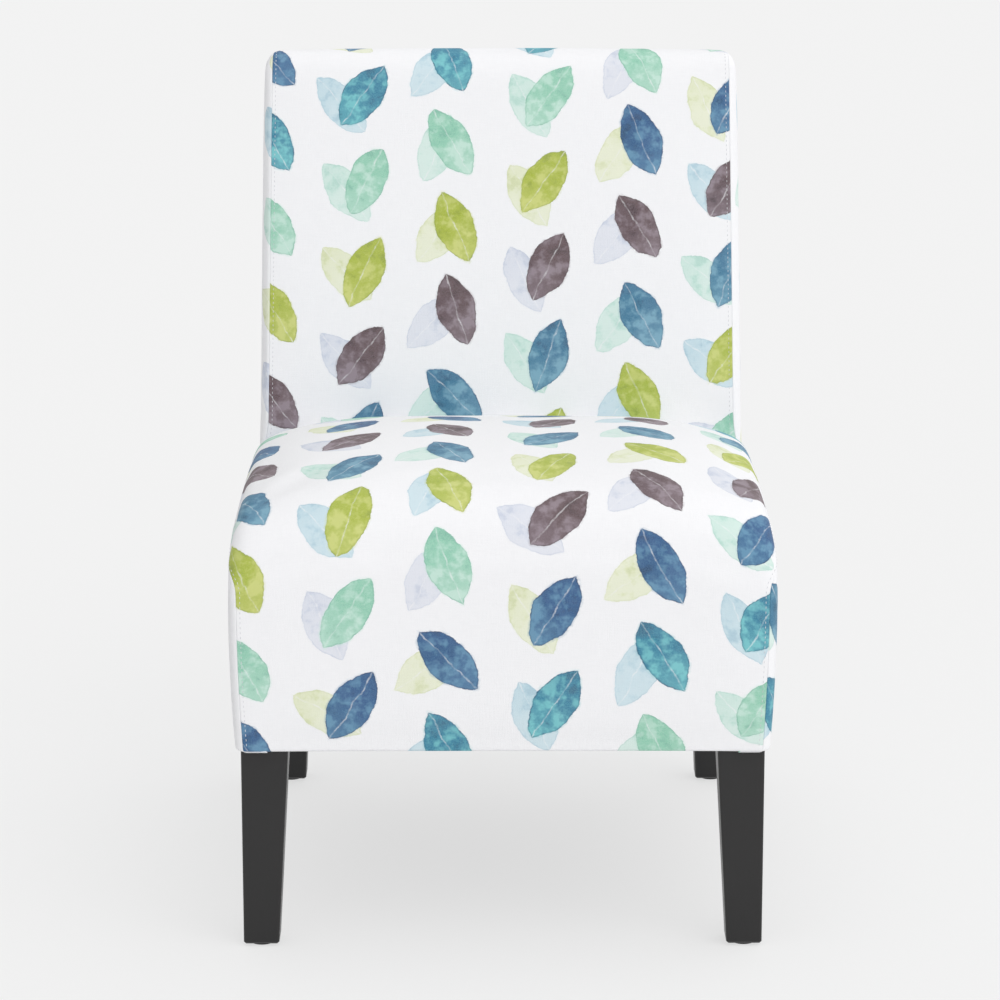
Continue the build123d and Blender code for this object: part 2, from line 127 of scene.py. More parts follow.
class Graph:
    """Builds the nodes of one material, or of the world, value by value."""

    def __init__(self, name: str, world: bpy.types.World | None = None) -> None:
        """Starts an empty set of nodes.

        Args:
            name: The material's name.
            world: The world to build in place of a new material.
        """
        self.material = world or bpy.data.materials.new(name)
        self.material.use_nodes = True
        self.tree = self.material.node_tree
        self.tree.nodes.clear()

    def node(self, kind: str, **settings: object) -> bpy.types.Node:
        """Adds a node.

        Args:
            kind: The node's type without the ShaderNode in front.
            **settings: Properties to set on it.

        Returns:
            The new node.
        """
        made = self.tree.nodes.new("ShaderNode" + kind)
        for key, setting in settings.items():
            setattr(made, key, setting)
        return made

    def feed(self, socket: Socket, value: Value) -> None:
        """Links a socket's value, or sets it where it is a plain number or colour.

        Args:
            socket: The input to feed.
            value: Another socket, a number or a tuple.
        """
        if isinstance(value, bpy.types.NodeSocket):
            self.tree.links.new(value, socket)
        else:
            socket.default_value = value

    def maths(self, operation: str, *values: Value, clamp: bool = False) -> Socket:
        """Adds a Math node.

        Args:
            operation: The node's operation.
            *values: Its inputs in order.
            clamp: Whether the result stays from 0 to 1.

        Returns:
            The result.
        """
        made = self.node("Math", operation=operation, use_clamp=clamp)
        for socket, value in zip(made.inputs, values):
            self.feed(socket, value)
        return made.outputs[0]

    def vector(self, operation: str, *values: Value) -> Socket:
        """Adds a Vector Math node.

        Args:
            operation: The node's operation.
            *values: Its inputs in order, with a scale last where it has one.

        Returns:
            The result.
        """
        made = self.node("VectorMath", operation=operation)
        sockets = [made.inputs[0], made.inputs["Scale"]] if operation == "SCALE" else made.inputs
        for socket, value in zip(sockets, values):
            self.feed(socket, value)
        return made.outputs["Value" if operation in ("LENGTH", "DOT_PRODUCT") else "Vector"]

    def combine(self, *values: Value) -> Socket:
        """Joins up to three numbers into a vector."""
        made = self.node("CombineXYZ")
        for socket, value in zip(made.inputs, values):
            self.feed(socket, value)
        return made.outputs[0]

    def separate(self, vector: Socket) -> tuple[Socket, Socket, Socket]:
        """Splits a vector into its three numbers."""
        made = self.node("SeparateXYZ")
        self.feed(made.inputs[0], vector)
        return tuple(made.outputs)

    def noise(
        self, place: Socket, scale: float, detail: float = 2.0, rough: float = 0.5, colour: bool = False
    ) -> Socket:
        """Adds a Noise Texture.

        Args:
            place: Where to read it.
            scale: Its scale.
            detail: Its detail.
            rough: Its roughness.
            colour: Whether to give three separate noises in place of one.

        Returns:
            The noise, from 0 to 1.
        """
        made = self.node("TexNoise")
        self.feed(made.inputs["Vector"], place)
        made.inputs["Scale"].default_value = scale
        made.inputs["Detail"].default_value = detail
        made.inputs["Roughness"].default_value = rough
        return made.outputs[1 if colour else 0]

    def remap(
        self, value: Socket, low: float, high: float, start: float = 0.0, end: float = 1.0
    ) -> Socket:
        """Maps a number smoothly from one range to another.

        Args:
            value: The number.
            low: The value that gives start.
            high: The value that gives end.
            start: The result at and below low.
            end: The result at and above high.

        Returns:
            The mapped number.
        """
        made = self.node("MapRange", interpolation_type="SMOOTHSTEP")
        for socket, number in zip(made.inputs, (value, low, high, start, end)):
            self.feed(socket, number)
        return made.outputs[0]

    def ramp(self, factor: Socket, stops: list[tuple[float, tuple]], steps: bool = False) -> Socket:
        """Adds a colour ramp.

        Args:
            factor: What it reads.
            stops: Each stop's place and colour.
            steps: Whether the colours change at once and not gradually.

        Returns:
            The colour.
        """
        made = self.node("ValToRGB")
        made.color_ramp.interpolation = "CONSTANT" if steps else "LINEAR"
        elements = made.color_ramp.elements
        while len(elements) < len(stops):
            elements.new(0.5)
        for element, (place, colour) in zip(elements, stops):
            element.position = place
            element.color = colour
        self.feed(made.inputs[0], factor)
        return made.outputs[0]

    def mix(self, factor: Value, first: Value, second: Value, blend: str = "MIX") -> Socket:
        """Mixes two colours.

        Args:
            factor: The second colour's share.
            first: The first colour.
            second: The second colour.
            blend: The blend type.

        Returns:
            The mixed colour.
        """
        made = self.node("Mix", data_type="RGBA", blend_type=blend)
        self.feed(made.inputs[0], factor)
        self.feed(made.inputs[6], first)
        self.feed(made.inputs[7], second)
        return made.outputs[2]

    def bump(self, height: Socket, distance: float, strength: float = 1.0, normal: Socket | None = None) -> Socket:
        """Turns a height into a surface normal.

        Args:
            height: The height, from 0 to 1.
            distance: How far 1 stands out, in metres.
            strength: The share of the effect that is kept.
            normal: A normal to build on.

        Returns:
            The normal.
        """
        made = self.node("Bump")
        made.inputs["Strength"].default_value = strength
        made.inputs["Distance"].default_value = distance
        self.feed(made.inputs["Height"], height)
        if normal is not None:
            self.feed(made.inputs["Normal"], normal)
        return made.outputs[0]

    def finish(self, **inputs: Value) -> bpy.types.Material:
        """Adds the shader and the output.

        Args:
            **inputs: The shader's inputs, with an underscore for each space in the name.

        Returns:
            The material.
        """
        shader = self.node("BsdfPrincipled")
        for key, value in inputs.items():
            self.feed(shader.inputs[key.replace("_", " ")], value)
        output = self.node("OutputMaterial")
        self.tree.links.new(shader.outputs[0], output.inputs[0])
        return self.material

    def object_place(self) -> Socket:
        """Where the surface is, in metres, in the piece's own frame."""
        return self.node("TexCoord").outputs["Object"]

    def cloth_place(self) -> Socket:
        """Where the surface is on the flat cloth, in metres."""
        return self.node("UVMap", uv_map=UV_LAYER).outputs[0]


@dataclass(frozen=True)
class Pigment:
    """A watercolour: its wash, where it pools, and its dried edge."""

    wash: tuple
    pool: tuple
    edge: tuple


@dataclass(frozen=True)
class LeafRow:
    """One printed layer of leaves, in millimetres and radians, and how it is painted."""

    half_length: float
    half_width: float
    tilt: float
    spread: float
    jitter: float
    shift: tuple[float, float]
    seed: float
    cover: float
    rim: float
    pool_from: float
    bleed: float
    pigments: tuple[Pigment, ...]


@dataclass(frozen=True)
class PrintedCloth:
    """White plain-weave cloth with a half-drop print of watercolour leaves."""

    name: str = "printed_cloth"
    ground: tuple = srgb(248, 248, 250)
    column_mm: float = 106.0
    row_mm: float = 98.0
    thread_mm: float = 0.9
    strong: LeafRow = LeafRow(
        half_length=43.0, half_width=22.0, tilt=0.55, spread=0.5, jitter=9.0, shift=(0.0, 0.0), seed=3.0,
        cover=0.96, rim=0.95, pool_from=0.42, bleed=0.3,
        pigments=(
            Pigment(srgb(104, 150, 182), srgb(38, 82, 134), srgb(20, 42, 88)),
            Pigment(srgb(208, 214, 128), srgb(168, 184, 56), srgb(132, 150, 48)),
            Pigment(srgb(124, 200, 206), srgb(44, 118, 154), srgb(22, 56, 104)),
            Pigment(srgb(150, 136, 144), srgb(92, 70, 72), srgb(50, 30, 28)),
            Pigment(srgb(200, 232, 218), srgb(140, 204, 176), srgb(106, 176, 152)),
            Pigment(srgb(126, 172, 194), srgb(52, 112, 148), srgb(26, 68, 106)),
        ),
    )
    pale: LeafRow = LeafRow(
        half_length=42.0, half_width=21.0, tilt=-0.7, spread=0.6, jitter=8.0, shift=(22.0, 10.0), seed=8.0,
        cover=0.85, rim=0.5, pool_from=0.52, bleed=0.15,
        pigments=(
            Pigment(srgb(206, 228, 236), srgb(172, 208, 222), srgb(126, 170, 194)),
            Pigment(srgb(228, 231, 240), srgb(208, 215, 230), srgb(166, 178, 204)),
            Pigment(srgb(216, 238, 230), srgb(182, 224, 210), srgb(136, 194, 178)),
            Pigment(srgb(235, 239, 212), srgb(216, 224, 170), srgb(182, 194, 122)),
        ),
    )

    def leaves(self, graph: Graph, place: Socket, row: LeafRow) -> tuple[Socket, Socket, Socket, Socket]:
        """Draws one layer of leaves, one to a cell of the half-drop layout.

        Args:
            graph: The material being built.
            place: The place on the cloth, in millimetres.
            row: The layer's sizes.

        Returns:
            How far outside the leaf's outline the place is in millimetres, its place along
            and across the leaf, and a number from 0 to 1 that is the leaf's own.
        """
        shifted = graph.vector("ADD", place, (row.shift[0], row.shift[1], 0.0))
        across, along, _ = graph.separate(shifted)
        across = graph.maths("DIVIDE", across, self.column_mm)
        column = graph.maths("FLOOR", across)
        dropped = graph.maths("MULTIPLY_ADD", column, 0.5, graph.maths("DIVIDE", along, self.row_mm))
        line = graph.maths("FLOOR", dropped)
        pick = graph.node("TexWhiteNoise", noise_dimensions="3D")
        graph.feed(pick.inputs[0], graph.combine(column, line, row.seed))
        chance = graph.vector("SUBTRACT", pick.outputs["Color"], (0.5, 0.5, 0.5))
        local = graph.combine(
            graph.maths("MULTIPLY", graph.maths("SUBTRACT", graph.maths("FRACT", across), 0.5), self.column_mm),
            graph.maths("MULTIPLY", graph.maths("SUBTRACT", graph.maths("FRACT", dropped), 0.5), self.row_mm),
        )
        local = graph.vector("ADD", local, graph.vector("SCALE", chance, row.jitter))
        parity = graph.maths("PINGPONG", column, 1.0)
        tilt = graph.maths("MULTIPLY_ADD", parity, -2.0 * row.tilt, row.tilt)
        turn = graph.node("VectorRotate", rotation_type="Z_AXIS")
        graph.feed(turn.inputs["Vector"], local)
        spin = graph.separate(chance)[2]
        graph.feed(turn.inputs["Angle"], graph.maths("MULTIPLY_ADD", spin, row.spread, tilt))
        leaf_across, leaf_along, _ = graph.separate(turn.outputs[0])
        bow = (row.half_length**2 + row.half_width**2) / (2 * row.half_width)
        reach = graph.combine(
            graph.maths("ADD", graph.maths("ABSOLUTE", leaf_across), bow - row.half_width), leaf_along
        )
        outside = graph.maths("SUBTRACT", graph.vector("LENGTH", reach), bow)
        own = graph.maths(
            "FRACT", graph.maths("MULTIPLY_ADD", column, 0.3719, graph.maths("MULTIPLY_ADD", line, 0.6180, row.seed / 7))
        )
        return outside, leaf_along, leaf_across, own

    def painted(self, graph: Graph, ground: Value, flat: Socket, brushed: Socket, row: LeafRow) -> Socket:
        """Paints one layer of leaves on what lies under it.

        Args:
            graph: The material being built.
            ground: The colour under the layer.
            flat: The place on the cloth, in millimetres.
            brushed: The same place, moved as an uneven brush edge would move it.
            row: The layer.

        Returns:
            The colour with the layer on it.
        """
        pooled = graph.noise(flat, 0.05, 5.0, 0.62)
        grain = graph.noise(flat, 0.8, 4.0, 0.75)
        bloom = graph.noise(flat, 0.09, 3.0, 0.55)
        outside, along, across, own = self.leaves(graph, brushed, row)
        steps = [index / len(row.pigments) for index in range(len(row.pigments))]
        wash, pool, edge = (
            graph.ramp(own, [(step, getattr(pigment, part)) for step, pigment in zip(steps, row.pigments)], True)
            for part in ("wash", "pool", "edge")
        )
        slope = graph.remap(along, -row.half_length, row.half_length, -0.45, 0.45)
        deep = graph.maths(
            "ADD", graph.remap(pooled, row.pool_from - 0.06, row.pool_from + 0.14), slope, clamp=True
        )
        paint = graph.mix(deep, wash, pool)
        darkest = graph.remap(graph.maths("MULTIPLY_ADD", slope, 0.12, pooled), 0.56, 0.68, 0.0, 0.7)
        paint = graph.mix(graph.maths("MULTIPLY", darkest, row.rim), paint, edge)
        paint = graph.mix(graph.remap(bloom, 0.55, 0.7, 0.0, 0.5), paint, wash)
        rim = graph.maths(
            "MULTIPLY", graph.remap(outside, -1.8, -0.5), graph.remap(bloom, 0.3, 0.62, row.rim, 0.3 * row.rim)
        )
        paint = graph.mix(rim, paint, edge)
        thin = graph.remap(graph.maths("ABSOLUTE", across), 0.3, 1.1, 1.0, 0.0)
        rib = graph.maths("MULTIPLY", thin, graph.remap(bloom, 0.35, 0.6, 0.55, 0.15))
        paint = graph.mix(rib, paint, self.ground)
        paint = graph.mix(graph.remap(grain, 0.35, 0.65, 0.0, 0.38), paint, wash)
        bleed = graph.maths("MULTIPLY", graph.remap(outside, 0.4, 2.6, row.bleed, 0.0), graph.remap(bloom, 0.4, 0.6))
        colour = graph.mix(bleed, ground, wash)
        cover = graph.maths("MULTIPLY", graph.remap(outside, -0.4, 0.4, 1.0, 0.0), row.cover)
        return graph.mix(cover, colour, paint)

    def material(self) -> bpy.types.Material:
        """Builds the cloth's material.

        Returns:
            The material, which reads the cloth's own flat map.
        """
        graph = Graph(self.name)
        flat = graph.vector("SCALE", graph.cloth_place(), 1 / MM)
        drift = graph.vector("SUBTRACT", graph.noise(flat, 0.035, 2.0, colour=True), (0.5, 0.5, 0.5))
        fray = graph.vector("SUBTRACT", graph.noise(flat, 0.22, 3.0, 0.6, colour=True), (0.5, 0.5, 0.5))
        brushed = graph.vector("ADD", flat, graph.vector("SCALE", drift, 9.0))
        brushed = graph.vector("ADD", brushed, graph.vector("SCALE", fray, 2.6))
        colour = self.ground
        for row in (self.pale, self.strong):
            colour = self.painted(graph, colour, flat, brushed, row)
        turn = 2 * math.pi / self.thread_mm
        threads = graph.vector("SINE", graph.vector("SCALE", flat, turn))
        warp, weft, _ = graph.separate(threads)
        weave = graph.maths("MULTIPLY_ADD", graph.maths("MULTIPLY", warp, weft), 0.5, 0.5)
        slubs = graph.maths(
            "ADD",
            graph.noise(graph.vector("MULTIPLY", flat, (0.06, 1.1, 1.0)), 1.0, 2.0),
            graph.noise(graph.vector("MULTIPLY", flat, (1.1, 0.06, 1.0)), 1.0, 2.0),
        )
        colour = graph.mix(graph.remap(weave, 0.0, 1.0, 0.05, 0.0), colour, srgb(150, 152, 158), "MULTIPLY")
        colour = graph.mix(graph.remap(slubs, 0.7, 1.3, 0.05, 0.0), colour, srgb(190, 192, 198), "MULTIPLY")
        normal = graph.bump(weave, 0.00012, 0.5)
        normal = graph.bump(slubs, 0.00022, 0.6, normal)
        return graph.finish(
            Base_Color=colour, Roughness=0.88, Specular_IOR_Level=0.25, Sheen_Weight=0.12,
            Sheen_Roughness=0.5, Normal=normal,
        )


@dataclass(frozen=True)
class Lacquer:
    """Black satin stain and lacquer over an open grain."""

    name: str = "black_lacquer"
    deep: tuple = srgb(20, 20, 21)
    pore: tuple = srgb(30, 29, 30)
    worn: tuple = srgb(44, 43, 43)
    grain_stretch: tuple = (1.0, 1.0, 0.05)

    def material(self) -> bpy.types.Material:
        """Builds the lacquer's material."""
        graph = Graph(self.name)
        place = graph.vector("MULTIPLY", graph.object_place(), self.grain_stretch)
        grain = graph.noise(place, 900.0, 4.0, 0.6)
        cloud = graph.noise(graph.object_place(), 14.0, 3.0)
        edge = graph.node("NewGeometry").outputs["Pointiness"]
        colour = graph.mix(graph.remap(grain, 0.35, 0.7, 0.0, 0.45), self.deep, self.pore)
        colour = graph.mix(graph.remap(edge, 0.52, 0.6, 0.0, 0.6), colour, self.worn)
        rough = graph.maths(
            "ADD", graph.remap(cloud, 0.3, 0.7, 0.34, 0.42), graph.remap(grain, 0.3, 0.7, -0.03, 0.05)
        )
        return graph.finish(
            Base_Color=colour, Roughness=rough, Specular_IOR_Level=0.38, Coat_Weight=0.08,
            Coat_Roughness=0.25, Normal=graph.bump(grain, 0.00012, 0.5),
        )


@dataclass(frozen=True)
class Timber:
    """Planed softwood and ply with straight grain along the frame's long way."""

    name: str = "frame_timber"
    pale: tuple = srgb(214, 184, 138)
    dark: tuple = srgb(172, 132, 86)

    def material(self) -> bpy.types.Material:
        """Builds the timber's material."""
        graph = Graph(self.name)
        place = graph.object_place()
        bent = graph.vector("ADD", place, graph.vector("SCALE", graph.noise(place, 6.0, 2.0, colour=True), 0.02))
        wave = graph.node("TexWave", wave_type="BANDS", bands_direction="Z")
        graph.feed(wave.inputs["Vector"], bent)
        wave.inputs["Scale"].default_value = 32.0
        wave.inputs["Distortion"].default_value = 3.5
        wave.inputs["Detail"].default_value = 2.0
        fibre = graph.noise(graph.vector("MULTIPLY", place, (0.08, 1.0, 1.0)), 700.0, 3.0)
        colour = graph.mix(graph.remap(wave.outputs["Fac"], 0.1, 0.95), self.pale, self.dark)
        colour = graph.mix(graph.remap(fibre, 0.3, 0.7, 0.0, 0.3), colour, self.dark)
        return graph.finish(Base_Color=colour, Roughness=0.72, Normal=graph.bump(fibre, 0.0002, 0.5))


@dataclass(frozen=True)
class Fleece:
    """Open, fibrous or cellular filling: foam, wadding and felt."""

    name: str
    pale: tuple
    dark: tuple
    cell: float
    rise: float

    def material(self) -> bpy.types.Material:
        """Builds the filling's material."""
        graph = Graph(self.name)
        place = graph.object_place()
        cells = graph.node("TexVoronoi")
        graph.feed(cells.inputs["Vector"], place)
        cells.inputs["Scale"].default_value = 1 / self.cell
        cloud = graph.noise(place, 18.0, 4.0)
        colour = graph.mix(graph.remap(cells.outputs["Distance"], 0.1, 0.7), self.dark, self.pale)
        colour = graph.mix(graph.remap(cloud, 0.35, 0.65, 0.0, 0.35), colour, self.dark)
        return graph.finish(
            Base_Color=colour, Roughness=0.95, Specular_IOR_Level=0.2,
            Normal=graph.bump(cells.outputs["Distance"], self.rise, 0.8),
        )


@dataclass(frozen=True)
class StrapWeave:
    """Coarse woven strap or spun cloth, drawn in the piece's own frame."""

    name: str
    base: tuple
    stripe: tuple
    rib: float
    stripe_share: float = 0.0

    def material(self) -> bpy.types.Material:
        """Builds the strap's material."""
        graph = Graph(self.name)
        place = graph.object_place()
        across, deep, up = graph.separate(graph.vector("SINE", graph.vector("SCALE", place, math.tau / self.rib)))
        ribs = graph.maths("MULTIPLY_ADD", graph.maths("MULTIPLY", across, graph.maths("ADD", up, deep)), 0.25, 0.5)
        cloud = graph.noise(place, 120.0, 4.0, 0.7)
        colour = graph.mix(graph.remap(ribs, 0.2, 0.8, 0.0, 0.5), self.base, self.stripe)
        colour = graph.mix(graph.remap(cloud, 0.4, 0.7, 0.0, 0.3 + self.stripe_share), colour, self.stripe)
        return graph.finish(
            Base_Color=colour, Roughness=0.9, Specular_IOR_Level=0.3, Normal=graph.bump(ribs, 0.0003, 0.6)
        )


@dataclass(frozen=True)
class DrawnSteel:
    """Drawn or plated steel with fine draw marks and a little bloom."""

    name: str
    colour: tuple
    tarnish: tuple
    roughness: float

    def material(self) -> bpy.types.Material:
        """Builds the steel's material."""
        graph = Graph(self.name)
        place = graph.object_place()
        cloud = graph.noise(place, 60.0, 4.0, 0.6)
        marks = graph.noise(graph.vector("MULTIPLY", place, (1.0, 0.05, 1.0)), 1500.0, 2.0)
        colour = graph.mix(graph.remap(cloud, 0.4, 0.7, 0.0, 0.7), self.colour, self.tarnish)
        rough = graph.remap(cloud, 0.3, 0.7, self.roughness - 0.06, self.roughness + 0.1)
        return graph.finish(
            Base_Color=colour, Metallic=1.0, Roughness=rough, Normal=graph.bump(marks, 0.00005, 0.4)
        )


@dataclass(frozen=True)
class MouldedPlastic:
    """Moulded plastic with a fine spark-eroded skin."""

    name: str = "glide_plastic"
    base: tuple = srgb(46, 46, 48)
    scuff: tuple = srgb(88, 87, 86)

    def material(self) -> bpy.types.Material:
        """Builds the plastic's material."""
        graph = Graph(self.name)
        place = graph.object_place()
        skin = graph.noise(place, 2500.0, 2.0)
        scuffs = graph.noise(place, 160.0, 4.0, 0.7)
        colour = graph.mix(graph.remap(scuffs, 0.55, 0.75, 0.0, 0.5), self.base, self.scuff)
        return graph.finish(
            Base_Color=colour, Roughness=graph.remap(scuffs, 0.3, 0.7, 0.42, 0.6),
            Normal=graph.bump(skin, 0.00006, 0.5),
        )


@dataclass(frozen=True)
class Thread:
    """Twisted sewing thread."""

    name: str = "sewing_thread"
    base: tuple = srgb(232, 232, 235)
    shade: tuple = srgb(196, 197, 202)

    def material(self) -> bpy.types.Material:
        """Builds the thread's material."""
        graph = Graph(self.name)
        twist = graph.noise(graph.object_place(), 1800.0, 2.0)
        colour = graph.mix(graph.remap(twist, 0.35, 0.65), self.base, self.shade)
        return graph.finish(Base_Color=colour, Roughness=0.7, Normal=graph.bump(twist, 0.0001, 0.5))


class Finishes:
    """Every material of the chair, built once."""

    def __init__(self) -> None:
        """Builds the materials."""
        self.cloth = PrintedCloth().material()
        self.lacquer = Lacquer().material()
        self.timber = Timber().material()
        self.foam = Fleece("seat_foam_cells", srgb(240, 232, 200), srgb(214, 200, 160), 0.0016, 0.0005).material()
        self.wadding = Fleece("polyester_wadding", srgb(245, 245, 243), srgb(222, 223, 224), 0.004, 0.001).material()
        self.felt = Fleece("deck_felt", srgb(120, 120, 122), srgb(82, 83, 88), 0.0025, 0.0006).material()
        self.webbing = StrapWeave("elastic_webbing", srgb(52, 52, 55), srgb(120, 120, 118), 0.003, 0.1).material()
        self.dust = StrapWeave("spun_dust_cloth", srgb(36, 36, 38), srgb(62, 62, 65), 0.0016).material()
        self.spring = DrawnSteel("spring_wire", srgb(120, 120, 124), srgb(78, 74, 72), 0.35).material()
        self.zinc = DrawnSteel("zinc_plate", srgb(205, 207, 210), srgb(170, 168, 160), 0.3).material()
        self.plastic = MouldedPlastic().material()
        self.thread = Thread().material()


@dataclass
class Mesher:
    """Collects quads with their places on the flat cloth, then makes an object of them."""

    name: str
    places: list[Array] = field(default_factory=list)
    flats: list[Array] = field(default_factory=list)
    quads: list[Array] = field(default_factory=list)
    held: list[Array] = field(default_factory=list)
    count: int = 0

    def grid(self, places: Array, flat: Array, held: Array | None = None, flip: bool = False) -> None:
        """Adds a grid of quads.

        Args:
            places: Points, as rows by columns by 3, in metres.
            flat: The same points on the flat cloth, as rows by columns by 2.
            held: How firmly each point is held while the cloth is blown, from 0 to 1.
            flip: Whether the faces look the other way.
        """
        rows, columns = places.shape[:2]
        index = np.arange(rows * columns).reshape(rows, columns) + self.count
        quads = np.stack([index[:-1, :-1], index[:-1, 1:], index[1:, 1:], index[1:, :-1]], -1).reshape(-1, 4)
        self.quads.append(quads[:, ::-1] if flip else quads)
        self.places.append(places.reshape(-1, 3))
        self.flats.append(flat.reshape(-1, 2))
        self.held.append(np.zeros(rows * columns) if held is None else held.reshape(-1))
        self.count += rows * columns

    def build(self) -> bpy.types.Object:
        """Makes the object, with shared edges joined.

        Returns:
            The object, with a flat map and a vertex group of what is held.
        """
        places = np.concatenate(self.places)
        flats = np.concatenate(self.flats)
        quads = np.concatenate(self.quads)
        held = np.concatenate(self.held)
        mesh = bpy.data.meshes.new(self.name)
        mesh.from_pydata(places.tolist(), [], quads.tolist())
        layer = mesh.uv_layers.new(name=UV_LAYER)
        layer.uv.foreach_set("vector", flats[quads.reshape(-1)].astype(np.float32).ravel())
        group = mesh.attributes.new("held", "FLOAT", "POINT")
        group.data.foreach_set("value", held.astype(np.float32))
        work = bmesh.new()
        work.from_mesh(mesh)
        bmesh.ops.remove_doubles(work, verts=work.verts, dist=2e-5)
        bmesh.ops.recalc_face_normals(work, faces=work.faces)
        work.to_mesh(mesh)
        work.free()
        made = bpy.data.objects.new(self.name, mesh)
        bpy.context.scene.collection.objects.link(made)
        mesh.polygons.foreach_set("use_smooth", [True] * len(mesh.polygons))
        return made


def keep_evaluated(piece: bpy.types.Object) -> None:
    """Replaces a piece's mesh by what its modifiers make of it, and removes them."""
    shape = bpy.data.meshes.new_from_object(piece.evaluated_get(bpy.context.evaluated_depsgraph_get()))
    piece.modifiers.clear()
    piece.data = shape


def mesh_points(mesh: bpy.types.Mesh) -> Array:
    """A mesh's points as an array."""
    flat = np.empty(len(mesh.vertices) * 3, np.float32)
    mesh.vertices.foreach_get("co", flat)
    return flat.reshape(-1, 3).astype(float)


def mesh_normals(mesh: bpy.types.Mesh) -> Array:
    """A mesh's normals at its points as an array."""
    flat = np.empty(len(mesh.vertices) * 3, np.float32)
    mesh.vertex_normals.foreach_get("vector", flat)
    return flat.reshape(-1, 3).astype(float)


def set_points(mesh: bpy.types.Mesh, points: Array) -> None:
    """Moves a mesh's points to new places."""
    mesh.vertices.foreach_set("co", points.astype(np.float32).ravel())
    mesh.update()


@dataclass
class Body:
    """A padded block whose face, top or rear rolls over into its sides.

    Its own frame has x across, then a depth and a height. Rows follow its side view.
    """

    rows: int = 0
    depth: Array = field(default_factory=lambda: np.zeros(0))
    height: Array = field(default_factory=lambda: np.zeros(0))
    normal: Array = field(default_factory=lambda: np.zeros((0, 2)))
    length: Array = field(default_factory=lambda: np.zeros(0))
    rounding: Array = field(default_factory=lambda: np.zeros(0))
    seam_share: Array = field(default_factory=lambda: np.zeros(0))
    seam_fall: Array = field(default_factory=lambda: np.zeros(0))

    def half_width(self, height: Array, inset: Array | float = 0.0) -> Array:
        """Half the width at a height, in millimetres."""
        raise NotImplementedError

    def side_normal(self, height: Array, inset: Array | float = 0.0) -> Array:
        """The side's outward direction at a height, as x, depth and height."""
        raise NotImplementedError

    def skin(self, across: Array) -> tuple[Array, Array]:
        """The face's point and direction in each row at a distance from the middle."""
        raise NotImplementedError

    def world(self, points: Array) -> Array:
        """Turns the body's own millimetres into metres in the chair's frame."""
        raise NotImplementedError

    def corner(self) -> tuple[Array, Array, Array, Array]:
        """Finds, in each row, where the rounded edge between face and side starts.

        Returns:
            The distance across where it starts, the middle of its arc, and the directions
            of the face and of the side there.
        """
        across = self.half_width(self.height, self.rounding)
        for _ in range(8):
            point, face = self.skin(across)
            height = point[:, 2] - self.rounding * face[:, 2]
            across = self.half_width(height, self.rounding) + self.rounding * face[:, 0]
        point, face = self.skin(across)
        middle = point - self.rounding[:, None] * face
        return across, middle, face, self.side_normal(middle[:, 2], self.rounding)

    def edge_walks(self) -> tuple[Array, Array]:
        """How long each row's rounded edge is, and how far along it the seam lies.

        Returns:
            Both distances from where the edge starts, in millimetres. The seam's is longer
            than the edge where the face's cloth goes on down the side.
        """
        _, _, face, side = self.corner()
        edge = np.arccos(np.clip((face * side).sum(-1), -1, 1)) * self.rounding
        return edge, edge * self.seam_share + self.seam_fall

    def edge_at(self, walked: Array) -> tuple[Array, Array, Array]:
        """Follows each row round the edge and on down the side.

        Args:
            walked: Distances from where the edge starts, as rows by points, in millimetres.

        Returns:
            The points, the same points flattened onto the side, and the outward directions.
        """
        _, middle, face, side = self.corner()
        edge = self.edge_walks()[0][:, None]
        turned = np.stack([turn_between(face, side, share) for share in np.clip(walked / edge, 0, 1).T], 1)
        arc = middle[:, None] + self.rounding[:, None, None] * turned
        end = middle + self.rounding[:, None] * side
        flat = end[:, None, 1:] + unit(self.normal)[:, None] * (edge - walked)[..., None]
        height = flat[..., 1]
        flank = np.concatenate([self.half_width(height)[..., None], flat], -1)
        flank_normal = self.side_normal(height.ravel()).reshape(flank.shape)
        past = (walked > edge)[..., None]
        return np.where(past, flank, arc), flat, np.where(past, flank_normal, turned)

    def seam_lip(self, deep: float, past: float = 0.0) -> Array:
        """Each row's point deep below the seam, where panels turn in, or past it under the side."""
        points, _, outward = self.edge_at(self.edge_walks()[1][:, None] + past)
        return points[:, 0] - outward[:, 0] * deep

    def face_curves(self, first: int, last: int, steps: int = 48) -> Array:
        """Draws each row from the middle of the face to the seam.

        Args:
            first: The first row.
            last: The row after the last one.
            steps: Points on the flat part.

        Returns:
            The points, as rows by points by 3, in the body's millimetres.
        """
        across = self.corner()[0]
        curve = np.stack([self.skin(across * share)[0] for share in np.linspace(0, 1, steps)], 1)
        seam = self.edge_walks()[1]
        edge = self.edge_at(seam[:, None] * np.linspace(0, 1, 16)[None, 1:])[0]
        return np.concatenate([curve, edge], 1)[first:last]

    def side_curves(self, depth: float, steps: int = 24) -> tuple[Array, Array]:
        """Draws each row from the seam round onto the flat of the side.

        Args:
            depth: How far the curve goes on along the flat, in millimetres.
            steps: Points from end to end.

        Returns:
            The points, as rows by points by 3, and the same points flattened onto the side.
        """
        edge, seam = self.edge_walks()
        last = edge + self.seam_fall + depth
        walked = seam[:, None] + (last - seam)[:, None] * np.linspace(0, 1, steps)[None]
        return self.edge_at(walked)[:2]


def walk(points: Array) -> Array:
    """The distance walked along each row of points, starting at 0."""
    steps = np.linalg.norm(np.diff(points, axis=1), axis=-1)
    return np.concatenate([np.zeros((len(points), 1)), np.cumsum(steps, 1)], 1)


